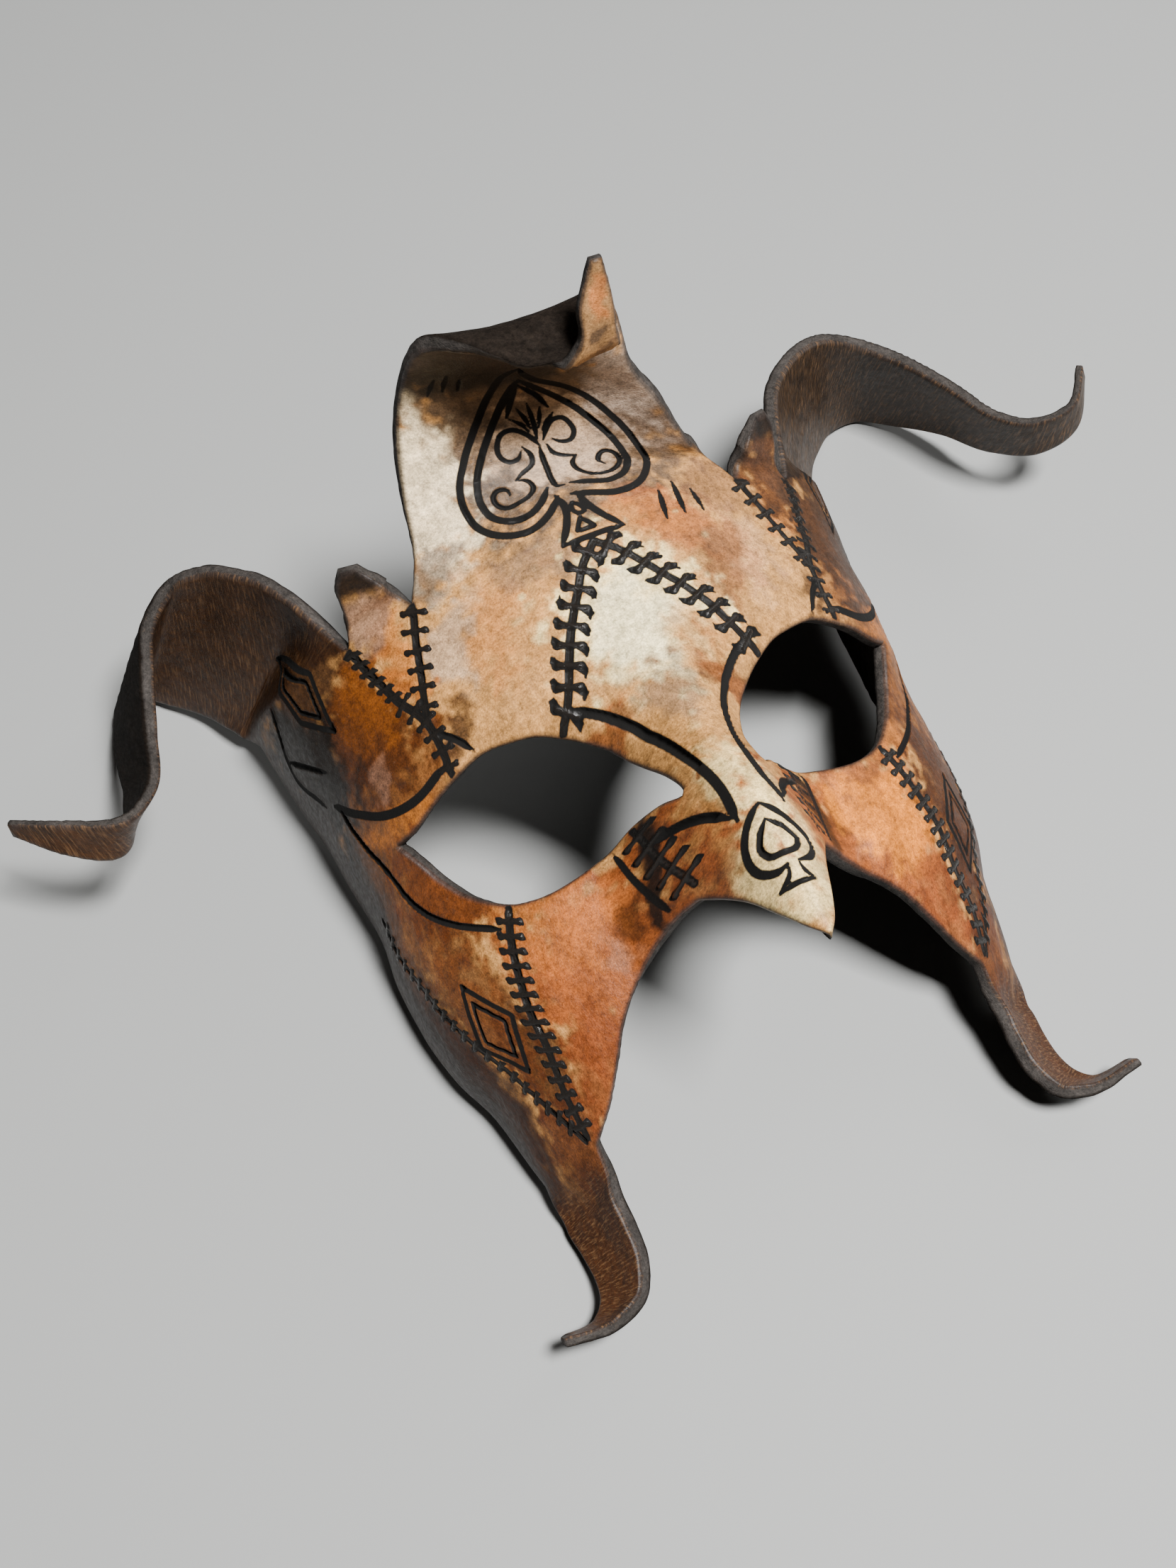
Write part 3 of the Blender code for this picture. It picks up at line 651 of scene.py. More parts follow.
MIDDLE_CUTS = (
    Cut("nose spade left", 1.1, 0.65,
        ((-0.5, -27.3), (-2.5, -28.6), (-4.5, -30.5), (-5.7, -32.6), (-6.1, -34.8), (-5.5, -37.2),
         (-3.1, -39), (-1.2, -38.7))),
    Cut("nose spade right", 1.1, 0.65,
        ((-0.5, -27.3), (2.9, -31.3), (4.8, -33.8), (5.5, -36.3), (3.4, -38.7), (0.9, -38.9))),
    Cut("nose spade inner", 1.0, 0.6,
        ((-0.9, -30.3), (-2.9, -32.3), (-3.9, -34.3), (-3.2, -36.2), (-0.9, -36.8), (1.7, -36.7),
         (2.8, -35.5), (2.1, -33.7), (-0.9, -30.3))),
    Cut("nose stem left", 0.9, 0.5, ((-1.3, -38.9), (-1.9, -40.4), (-4.5, -41.9))),
    Cut("nose stem right", 0.9, 0.5, ((0.8, -39.1), (1.0, -40.9), (2.4, -42.6))),
    Cut("nose foot", 0.9, 0.5, ((-4.5, -41.9), (2.4, -42.6)), straight=True),
    Cut("spade left", 1.2, 0.7,
        ((0.3, 82), (-1.4, 80.5), (-5, 74.8), (-9.1, 68.5), (-13, 62.8), (-15.9, 57.7), (-17, 53.4),
         (-16.4, 48.6), (-13, 44.5), (-8.5, 43.1), (-4.5, 44.6), (-1.7, 47.4))),
    Cut("spade left inner", 1.2, 0.65,
        ((0.3, 77.5), (-3, 72.6), (-6.6, 67.2), (-10.2, 61.8), (-12.9, 56.9), (-14, 53), (-13.4, 49.2),
         (-11, 46.7), (-8, 46), (-4.9, 47.4), (-2.4, 50.4))),
    Cut("spade right", 1.2, 0.7,
        ((0.3, 82), (1.9, 78.6), (8.7, 73.8), (13.7, 67.1), (17, 59), (16.7, 50), (12.6, 45), (8.1, 44.3),
         (3.4, 45.8), (0.5, 46.8))),
    Cut("spade right inner", 1.2, 0.65,
        ((0.3, 77.5), (6.7, 71), (11.2, 64.6), (13.9, 58), (13.6, 51.6), (10.9, 48), (7.9, 47.3),
         (4.6, 48.4), (1.6, 49.6))),
    Cut("left scroll", 0.9, 0.6,
        ((0.8, 61.2), (-0.9, 64.4), (-3.1, 66), (-5.1, 65.7), (-6.5, 63.7), (-6.8, 61.2), (-5.3, 59.4),
         (-3.8, 59.7), (-2.9, 61.1))),
    Cut("left tendril", 0.9, 0.6, ((-2.4, 62), (-1.5, 59.9), (-1.9, 57.8), (-4.8, 56), (-6.3, 55.1))),
    Cut("left foot", 0.9, 0.6,
        ((-6.3, 55.1), (-4.7, 54.3), (-4.4, 51.9), (-6, 50.1), (-8.3, 49.6), (-10.4, 49.7), (-11.7, 51.5),
         (-11.4, 53.5), (-10.1, 54.4), (-8.7, 53.8), (-8.7, 52.2))),
    Cut("right scroll", 0.9, 0.6,
        ((1.7, 62.3), (2.9, 64.6), (4.4, 66.3), (6, 66.5), (7.2, 64.8), (7.5, 62.7), (6.1, 60.8),
         (4.6, 61), (3.2, 62.2))),
    Cut("right tendril", 0.9, 0.6, ((2.0, 61.2), (2.5, 58.8), (4.2, 57.4), (6.1, 56.9))),
    Cut("right foot", 0.9, 0.6,
        ((6.1, 56.9), (4.7, 55.3), (4.6, 52.8), (6.2, 50.2), (8.6, 49.5), (11.1, 50.5), (12.7, 53.4),
         (12.4, 55.5), (11.1, 56.3), (9.7, 55.4), (9.0, 53.7), (9.6, 52.3))),
    Cut("leaf 1", 0.8, 0.5, ((-0.3, 64.9), (-1.2, 66.7), (-2.9, 68.2))),
    Cut("leaf 2", 0.8, 0.5, ((0.2, 65.3), (-0.3, 67.8), (-1.3, 70.2))),
    Cut("leaf 3", 0.8, 0.5, ((0.7, 62.6), (1.0, 66), (0.8, 71))),
    Cut("leaf 4", 0.8, 0.5, ((1.7, 65.3), (2.3, 67.4), (2.9, 69.8))),
    Cut("leaf 5", 0.8, 0.5, ((2.2, 64.6), (3.4, 66.3), (4.9, 67.9))),
    Cut("leaf frame", 1.0, 0.55, ((-3.4, 68.6), (-1.9, 72), (-0.1, 76))),
    Cut("leaf frame right", 1.0, 0.55, ((-0.1, 76), (2.7, 72.8), (4.3, 69.2))),
    Cut("spade stem", 1.0, 0.55, ((0.6, 61), (-0.2, 55), (-0.8, 51.9), (-0.7, 49.8), (0.5, 49.6))),
    Cut("stem left", 1.2, 0.7, ((-2.1, 47.7), (-1.6, 44.5), (-2.8, 41.1), (-5.3, 37.4))),
    Cut("stem right", 1.2, 0.7, ((1.4, 46.9), (1.9, 44.5), (3.5, 41.2), (6.5, 37.2))),
    Cut("stem foot", 1.1, 0.6, ((-5.3, 37.4), (6.5, 37.2)), straight=True),
    Cut("stem eye", 0.8, 0.5,
        ((-0.1, 45), (-0.7, 43.8), (0.2, 42.4), (1.2, 42.6), (0.9, 44)), closed=True),
    Cut("stem wedge", 0.8, 0.5, ((-0.1, 41.6), (1.8, 39), (-1.7, 39.1)), closed=True, straight=True),
    Cut("left stroke 1", 0.9, 0.5, ((-15.9, 76.4), (-14.2, 80.4)), straight=True),
    Cut("left stroke 2", 0.9, 0.5, ((-13.2, 76.9), (-11.9, 81.6)), straight=True),
    Cut("left stroke 3", 0.9, 0.5, ((-10.5, 76.6), (-9.8, 79.8)), straight=True),
    Cut("right stroke 1", 1.0, 0.55, ((14.6, 36.2), (15.4, 42.4)), straight=True),
    Cut("right stroke 2", 1.0, 0.55, ((18.5, 36.6), (18.7, 43.8)), straight=True),
    Cut("right stroke 3", 1.0, 0.55, ((22.4, 36.6), (21.7, 41.6)), straight=True),
)
CUTS = PAIRED_CUTS + tuple(replace(cut, both=False) for cut in MIDDLE_CUTS)


@dataclass
class Carving:
    """Everything carved into the grain side.

    A groove's section is read by u, the distance from its middle line over its half width.
    """

    cuts: tuple[Cut, ...] = CUTS
    reach: float = 2.4          # distances from the carving are held at this, mm
    step: float = 0.7           # distance between points of a line, mm
    margin: float = 3.0         # how far past its points a line is worked, mm
    taper: float = 2.5          # length over which the end of an open line grows to its full width, mm
    tip: float = 0.45           # share of its width that it keeps at the very end
    roundness: float = 0.8      # below 1, a groove's floor is flatter than a parabola's
    lip_height: float = 0.11    # leather pushed up beside a groove, mm
    lip_place: float = 1.35     # where that is highest, as u
    lip_width: float = 0.4      # how wide it is, as u
    cord_half: float = 0.5      # half width of a seam's lace, as u
    cord_height: float = 0.55   # its height above the groove's floor, mm
    gloss_half: float = 0.6     # half width of the lace's gloss, as u
    gloss_edge: float = 0.3     # width over which the gloss ends, as u
    inked: float = 0.6          # half width of the ink, as a share of the line's width
    ink_edge: float = 0.8       # width over which the ink of a line ends, mm
    stitch_reach: float = 3.6   # how far from its middle a stitch is worked, mm
    stitch_half: float = 2.4    # half length of a stitch, mm
    stitch_thick: float = 0.6   # half its thickness, mm
    stitch_ink: float = 0.6     # width over which the ink of a stitch ends, mm
    pit_depth: float = 0.5      # of a stitch's pits, mm
    pit_slope: float = 0.5      # width of their walls, mm
    knot_half: float = 0.58     # half width of a stitch's lace, mm
    knot_height: float = 0.5    # its height, mm
    knot_sink: float = 0.14     # how far it is sunk into the leather, mm
    pit_inked: float = 0.1      # how far past a pit its ink goes, mm
    knot_inked: float = 0.55    # half width of the ink on a stitch's lace, mm
    knot_gloss: float = 0.5     # half width of the gloss on it, mm
    knot_gloss_edge: float = 0.2    # width over which that gloss ends, mm

    def __post_init__(self) -> None:
        """Lays out the lines and the stitches."""
        self.lines = [(cut, run) for cut in self.cuts for run in cut.runs(self.step)]
        self.stitches = [(cut, *spot) for cut, run in self.lines if cut.knot for spot in self.spots(cut, run)]

    @staticmethod
    def spots(cut: Cut, run: Array) -> list[tuple[Array, Array]]:
        """Where the stitches of a seam lie.

        Args:
            cut: The seam.
            run: Its points.

        Returns:
            The middle of each stitch and the seam's direction there.
        """
        step = 0.25
        last_gap = 0.8
        marks = evenly(run, step)
        length = step * (len(marks) - 1)
        out = []
        for k in range(int((length - cut.first - last_gap) / cut.pitch) + 1):
            i = min(len(marks) - 2, round((cut.first + k * cut.pitch) / length * (len(marks) - 1)))
            out.append((marks[i], unit((marks[i + 1] - marks[i - 1])[None])[0]))
        return out

    @staticmethod
    def off(q: Array, run: Array, widths: Array | None = None) -> tuple[Array, Array]:
        """Distance from places to a run of straight pieces.

        Args:
            q: Pattern places.
            run: Its points.
            widths: A radius at each point, taken off the distance, or None.

        Returns:
            The distance, and the run length of the nearest point.
        """
        best = np.full(len(q), math.inf)
        where = np.zeros(len(q))
        start = 0.0
        for k in range(len(run) - 1):
            step = run[k + 1] - run[k]
            size = float(step @ step)
            share = np.clip((q - run[k]) @ step / size, 0, 1)
            gap = np.linalg.norm(q - run[k] - share[:, None] * step, axis=1)
            if widths is not None:
                gap = gap - widths[k] * (1 - share) - widths[k + 1] * share
            closer = gap < best
            best[closer] = gap[closer]
            where[closer] = start + share[closer] * math.sqrt(size)
            start += math.sqrt(size)
        return best, where

    @staticmethod
    def near(q: Array, run: Array, margin: float) -> Array:
        """Indices of the places inside a run's box and margin."""
        low, high = run.min(axis=0) - margin, run.max(axis=0) + margin
        return np.flatnonzero(((q >= low) & (q <= high)).all(axis=1))

    def distance(self, q: Array) -> Array:
        """How far each place is from anything carved.

        Args:
            q: Pattern places.

        Returns:
            Distances past the carved edge, mm, held at reach.
        """
        best = np.full(len(q), self.reach)
        for cut, run in self.lines:
            here = self.near(q, run, self.reach + cut.width / 2)
            best[here] = np.minimum(best[here], self.off(q[here], run)[0] - cut.width / 2)
        for cut, middle, along in self.stitches:
            ends = (-self.stitch_half, self.stitch_half)
            run = middle + np.outer(ends, (-along[1], along[0])) * cut.size
            here = self.near(q, run, self.reach + self.stitch_thick)
            best[here] = np.minimum(best[here], self.off(q[here], run)[0] - self.stitch_thick)
        return best

    def relief(self, q: Array) -> tuple[Array, Array, Array]:
        """The carved height, the ink and the glossy top of the lace, which the material also paints lighter
        as a highlight.

        Args:
            q: Pattern places.

        Returns:
            Height above the grain side, mm, how inked each place is, and how much of it is the lace's glossy
            top, painted lighter as a highlight, 0 to 1.
        """
        height, ink, lace = np.zeros((3, len(q)))
        for cut, run in self.lines:
            here = self.near(q, run, self.margin)
            gap, where = self.off(q[here], run)
            end = np.minimum(where, np.linalg.norm(np.diff(run, axis=0), axis=1).sum() - where)
            fade = self.tip + (1 - self.tip) * smooth(end / self.taper)
            if cut.closed or cut.style is Style.SEAM:
                fade = 1.0
            u = gap / (cut.width / 2 * fade)
            bowl = -cut.depth * fade * np.clip(1 - u * u, 0, 1) ** self.roundness
            if cut.style is Style.SEAM:
                cord = self.cord_height * np.sqrt(np.clip(1 - (u / self.cord_half) ** 2, 0, 1))
                bowl = np.where(u < self.cord_half, bowl + cord, bowl)
                gloss = smooth((self.gloss_half - u) / self.gloss_edge)
                lace[here] = np.maximum(lace[here], gloss)
            lip = self.lip_height * np.exp(-((u - self.lip_place) / self.lip_width) ** 2)
            # The lip also lifts earlier grooves inside this line's margin, so they come out shallower.
            lifted = np.maximum(height[here], lip)
            height[here] = np.where(bowl < 0, np.minimum(height[here], bowl), lifted)
            inside = (self.inked * cut.width * fade - gap) / self.ink_edge
            ink[here] = np.maximum(ink[here], smooth(inside + 0.5))
        for cut, middle, along in self.stitches:
            self.stitch(q, height, ink, lace, cut, middle, along)
        return height, ink, lace

    def stitch(self, q: Array, height: Array, ink: Array, lace: Array, cut: Cut, middle: Array,
               along: Array) -> None:
        """Works one stitch into the height and the ink.

        Args:
            q: Pattern places.
            height: Heights so far, changed in place.
            ink: Ink so far, changed in place.
            lace: Lace so far, changed in place.
            cut: The seam that it belongs to.
            middle: Where it lies.
            along: The seam's direction there.
        """
        across = np.array((-along[1], along[0]))
        here = self.near(q, middle[None], self.stitch_reach * cut.size)
        p = q[here] - middle
        own = np.stack((p @ across, -(p @ along)), axis=1) / cut.size
        pits, cord = cut.knot.value
        for stroke in pits:
            path = np.array(stroke)
            deep = self.off(own, path[:, :2], path[:, 2])[0]
            pit = np.minimum(height[here], -self.pit_depth * smooth(-deep / self.pit_slope))
            height[here] = np.where(deep < 0, pit, height[here])
            inside = (self.pit_inked - deep) / self.stitch_ink
            ink[here] = np.maximum(ink[here], smooth(inside + 0.5))
        path = np.array(cord)
        gap = self.off(own, path[:, :2])[0]
        bow = np.sqrt(np.clip(1 - (gap / self.knot_half) ** 2, 0, 1))
        round_top = self.knot_height * bow - self.knot_sink
        height[here] = np.where(gap < self.knot_half, np.maximum(height[here], round_top), height[here])
        inside = (self.knot_inked - gap) / self.stitch_ink
        ink[here] = np.maximum(ink[here], smooth(inside + 0.5))
        gloss = smooth((self.knot_gloss - gap) / self.knot_gloss_edge)
        lace[here] = np.maximum(lace[here], gloss)


class Blade:
    """Marks points in the pattern and joins them to triangles."""

    FINE = 0.2          # distance between the points that the cut edges are measured from, mm
    ROW = 0.866         # distance between the lattice's rows, over the distance within a row
    FIRST_ROW = 0.37    # where the first row lies, in rows
    KEPT = 0.93         # share of its inset that a ring's place keeps from every edge
    SAME = 1e-6         # points closer than this are one, mm
    FLAT = 1e-7         # twice the area below which a triangle is dropped, mm2

    def __init__(self, blank: Blank, carving: Carving, edge_step: float) -> None:
        """Takes the outline.

        Args:
            blank: The sheet's pattern.
            carving: What is carved; not used.
            edge_step: Distance between points of the outline, mm.
        """
        self.blank = blank
        self.carving = carving
        self.loops = blank.outline(edge_step)
        closed = [np.concatenate((loop, loop[:1])) for loop in self.loops]
        dense = np.concatenate([evenly(loop, self.FINE)[:-1] for loop in closed])
        self.tree = kdtree.KDTree(len(dense))
        for i, p in enumerate(dense):
            self.tree.insert((p[0], p[1], 0), i)
        self.tree.balance()

    def from_edge(self, q: Array) -> Array:
        """Distance of pattern places from the cut edges, mm."""
        return np.array([self.tree.find((p[0], p[1], 0))[2] for p in q])

    def lattice(self, spacing: float) -> Array:
        """Evenly scattered places inside the outline.

        Args:
            spacing: Distance between neighbours, mm.

        Returns:
            The places.
        """
        starts = np.concatenate(self.loops)
        ends = np.concatenate([np.roll(loop, -1, axis=0) for loop in self.loops])
        low, high = starts.min(axis=0), starts.max(axis=0)
        out = []
        for j in range(int((high[1] - low[1]) / (spacing * self.ROW)) + 1):
            v = low[1] + (j + self.FIRST_ROW) * spacing * self.ROW
            crosses = (starts[:, 1] > v) != (ends[:, 1] > v)
            p, r = starts[crosses], ends[crosses]
            cuts = np.sort(p[:, 0] + (v - p[:, 1]) / (r[:, 1] - p[:, 1]) * (r[:, 0] - p[:, 0]))
            row = np.arange(low[0] + 0.5 * spacing * (j % 2), high[0], spacing)
            row = row[np.searchsorted(cuts, row) % 2 == 1]
            out.append(np.stack((row, np.full(len(row), v)), axis=1))
        return np.concatenate(out)

    def rings(self, insets: tuple[float, ...]) -> Array:
        """Rows of places that follow the cut edges inside the sheet.

        Args:
            insets: Distances from the edge, mm.

        Returns:
            The places that keep their distance from every edge.
        """
        out = []
        for loop in self.loops:
            run = unit(np.roll(loop, -1, axis=0) - np.roll(loop, 1, axis=0))
            inward = np.stack((-run[:, 1], run[:, 0]), axis=1)
            for inset in insets:
                row = loop + inward * inset
                out.append(row[self.from_edge(row) > inset * self.KEPT])
        return np.concatenate(out)

    def triangles(self, extra: Array) -> tuple[Array, Array, list[Array]]:
        """Joins the outline and the places inside it.

        Args:
            extra: Places inside the outline.

        Returns:
            Places, triangles that run anticlockwise, and the place of each outline point, loop by loop.
        """
        rim = np.concatenate(self.loops)
        edges = []
        start = 0
        for loop in self.loops:
            edges.extend((start + k, start + (k + 1) % len(loop)) for k in range(len(loop)))
            start += len(loop)
        places = [Vector(p) for p in np.concatenate((rim, extra)).tolist()]
        found = geometry.delaunay_2d_cdt(places, edges, [], 0, self.SAME, True)
        q = np.array([tuple(p) for p in found[0]])
        tris = np.array([tuple(f) for f in found[2]])
        new = np.empty(len(places), int)
        for i, old in enumerate(found[3]):
            for o in old:
                new[o] = i
        on_rim = np.zeros(len(q), bool)
        on_rim[new[: len(rim)]] = True
        doubtful = on_rim[tris].all(axis=1)
        keep = ~doubtful
        keep[doubtful] = self.inside(q[tris[doubtful]].mean(axis=1))
        tris = tris[keep]
        a, b, c = q[tris[:, 0]], q[tris[:, 1]], q[tris[:, 2]]
        area = (b[:, 0] - a[:, 0]) * (c[:, 1] - a[:, 1]) - (b[:, 1] - a[:, 1]) * (c[:, 0] - a[:, 0])
        tris[area < 0] = tris[area < 0][:, ::-1]
        splits = np.cumsum([len(loop) for loop in self.loops])[:-1]
        return q, tris[np.abs(area) > self.FLAT], np.split(new[: len(rim)], splits)

    def inside(self, q: Array) -> Array:
        """Whether pattern places are inside the outline and outside the eye holes."""
        starts = np.concatenate(self.loops)
        ends = np.concatenate([np.roll(loop, -1, axis=0) for loop in self.loops])
        odd = np.zeros(len(q), bool)
        for p, r in zip(starts, ends):
            if p[1] != r[1]:
                spans = (p[1] > q[:, 1]) != (r[1] > q[:, 1])
                odd ^= spans & (q[:, 0] < p[0] + (q[:, 1] - p[1]) / (r[1] - p[1]) * (r[0] - p[0]))
        return odd


@dataclass(frozen=True)
class Wash:
    """A pool of dye, drawn in the pattern; a few named pools are painted shadow and painted highlight
    instead.
    """

    name: str
    centre: tuple[float, float]
    radii: tuple[float, float]
    colour: tuple[float, float, float]
    strength: float
    turn: float = 0.0
    both: bool = False
    ragged: float = 0.35


def srgb(colour: tuple[float, float, float]) -> Array:
    """Linear colour of a colour as seen on a screen, 0 to 255."""
    c = np.array(colour, float) / 255
    return np.where(c <= 0.04045, c / 12.92, ((c + 0.055) / 1.055) ** 2.4)


TAN = (206, 160, 104)
# Pale cream dye, made brighter so that it also carries part of the forehead's painted highlight.
CREAM = (250, 224, 166)
PALE = (205, 176, 146)
PINK = (196, 158, 136)
SMOKE = (128, 112, 100)
RUST = (170, 106, 56)
ORANGE = (226, 148, 74)
AMBER = (190, 126, 60)
SIENNA = (126, 76, 40)
UMBER = (84, 52, 30)
NIGHT = (40, 31, 26)
HORN_BROWN = (74, 48, 28)
HORN_DARK = (46, 34, 25)
TAIL_BROWN = (76, 46, 28)
SUEDE_DARK = (26, 21, 17)
EDGE_GREY = (54, 50, 47)
BURNT = (46, 40, 37)

WASHES = (
    Wash("hat smoke", (2, 64), (34, 24), (104, 90, 78), 0.85),
    Wash("hat middle", (4, 60), (11, 11), PALE, 0.85),
    # Pale dye on the hat's left, brightened to near white as painted light on the side that faces the lamp.
    Wash("hat left pale and painted light", (-24, 58), (10, 18), (246, 226, 190), 0.97),
    Wash("hat left smudge", (-27, 46), (7, 3), SMOKE, 0.7, turn=0.4),
    # Painted shadow: near-black where the hat's rolled peak overhangs and shades the hat.
    Wash("painted shadow under the roll", (-7, 87), (24, 12), NIGHT, 0.97, ragged=0.15),
    Wash("spike streak", (0.6, 121.5), (0.9, 4.5), ORANGE, 0.95, ragged=0.15),
    Wash("spike blotch", (-0.8, 115.5), (1.6, 2), NIGHT, 0.7),
    Wash("spike foot", (1.5, 111.5), (2.5, 1.2), UMBER, 0.7),
    Wash("hat right", (22, 66), (10, 12), SMOKE, 0.6),
    Wash("hat right grey", (20, 74), (9, 14), (182, 164, 148), 0.92),
    Wash("forehead left", (-20, 30), (9, 12), (214, 150, 88), 0.6, turn=0.3),
    Wash("forehead left haze", (-15, 22), (7, 11), TAN, 0.7),
    Wash("forehead left pale", (-31, 31), (4, 9), PALE, 0.85, turn=-0.3),
    Wash("forehead smudge", (-11, 36), (8, 3), SMOKE, 0.45, turn=-0.5),
    Wash("forehead right", (19, 33), (15, 6), RUST, 0.75, turn=-0.9),
    Wash("forehead right amber", (10, 38), (7, 4), AMBER, 0.6, turn=-0.5),
    Wash("forehead right pale", (27, 27), (6, 10), (216, 176, 138), 0.5),
    Wash("forehead right brown", (21, 24), (3.5, 12), (150, 104, 66), 0.75, turn=-0.3),
    Wash("hat right brown", (27, 43), (7, 7), (150, 112, 80), 0.6),
    # Pale cream dye of the forehead patch, centred on the highlight and brightened as part of the painted
    # highlight.
    Wash("forehead cream and painted highlight", (1, 19), (14, 15), CREAM, 0.97, ragged=0.5),
    # Painted highlight: a near-white pool where the lamp's highlight falls on the forehead.
    Wash("forehead painted highlight", (0, 17), (8, 10), (255, 240, 196), 0.98, ragged=0.3),
    Wash("forehead amber", (9, 12), (4, 7), AMBER, 0.5, turn=0.5),
    Wash("bridge smoke", (0, 2), (5, 6), SMOKE, 0.55),
    Wash("rim amber", (13, 1), (3, 12), (136, 84, 46), 0.85, turn=0.9, both=True),
    Wash("nose side", (9, -24), (6, 6), (198, 144, 84), 0.7, both=True),
    Wash("nose cream", (0, -33), (8, 20), CREAM, 0.95),
    Wash("cheek rust", (30, -28), (24, 19), (168, 102, 56), 0.95, both=True),
    Wash("cheek orange", (33, -20), (13, 7), ORANGE, 0.3, both=True),
    Wash("cheek pink", (27, -29), (3.5, 3), PINK, 0.25, both=True),
    Wash("cheek char", (22, -23), (2.5, 5), NIGHT, 0.6, turn=0.5, both=True),
    Wash("lid rust", (48, -4), (20, 7), (176, 114, 56), 0.85, turn=0.6, both=True),
    Wash("cheek side", (60, -20), (10, 18), (134, 96, 62), 0.85, both=True, ragged=0.15),
    Wash("cheek side smoke", (58, -36), (8, 12), UMBER, 0.8, both=True),
    Wash("flank dark", (82, -28), (14, 34), (82, 52, 32), 1.0, both=True, ragged=0.1),
    Wash("side dark", (83, 6), (12, 15), (56, 42, 32), 0.95, both=True, ragged=0.15),
    Wash("temple ground", (62, 12), (22, 28), (142, 96, 56), 0.9, both=True, ragged=0.2),
    Wash("temple sienna", (56, 30), (15, 15), (112, 70, 38), 0.97, both=True),
    Wash("temple amber", (52, 34), (8, 9), (152, 96, 44), 0.75, both=True),
    Wash("temple spots", (58, 22), (5, 4), PINK, 0.4, both=True),
    Wash("brow amber", (60, 13), (14, 3), AMBER, 0.8, turn=0.3, both=True),
    Wash("panel dark", (75, 40), (14, 20), (44, 34, 26), 0.98, both=True, ragged=0.2),
    Wash("right cheek", (36, -24), (16, 10), (222, 146, 58), 0.9, turn=-0.5),
    Wash("right cheek top", (30, -12), (12, 4), (150, 98, 62), 0.8, turn=-0.2),
    Wash("right side", (62, -24), (14, 24), UMBER, 0.8),
    Wash("left lid", (-56, 0), (16, 8), SIENNA, 0.8, turn=-0.6),
    Wash("left side", (-62, -24), (7, 18), SIENNA, 0.55),
    Wash("ear blush", (40, 38), (5, 12), ORANGE, 0.55, both=True),
    Wash("ear haze", (42, 47), (6, 6), (158, 130, 112), 0.8, both=True),
    Wash("right ear", (42, 45), (9, 13), (98, 66, 42), 0.9),
    Wash("right temple", (57, 32), (15, 17), (84, 64, 48), 0.8),
    Wash("side edge", (92, 0), (13, 80), (62, 43, 30), 0.98, both=True, ragged=0.1),
    Wash("horn diamond ground", (61, 50), (11, 9), (100, 72, 48), 0.92, both=True, ragged=0.2),
    Wash("tail root", (60, -51), (13, 12), (110, 68, 42), 0.92, both=True, ragged=0.2),
    Wash("cheek edge", (44, -43), (9, 11), (150, 90, 52), 0.85, both=True, ragged=0.2),
    Wash("nose band", (16.4, -20.8), (2.1, 10.5), (44, 34, 28), 0.95, turn=0.13, both=True, ragged=0.1),
    Wash("eye rim", (38.5, 17.5), (3.5, 5), (84, 62, 46), 0.75, turn=0.4, both=True),
)


@dataclass(frozen=True)
class StripDye:
    """How a strip is dyed along its run: from where, over what share of it, how strongly and in what tone."""

    start: float
    span: float
    strength: float
    tone: tuple[float, float, float]


STRIP_DYES = {
    Part.HORN: StripDye(-0.02, 0.05, 0.95, HORN_BROWN),
    Part.TAIL: StripDye(-0.1, 0.3, 0.95, TAIL_BROWN),
    Part.EAR: StripDye(0.45, 0.35, 0.95, NIGHT),
    Part.PEAK: StripDye(0.45, 0.1, 0.35, SMOKE),
}
RIGHT_HORN_DYE = replace(STRIP_DYES[Part.HORN], tone=HORN_DARK)


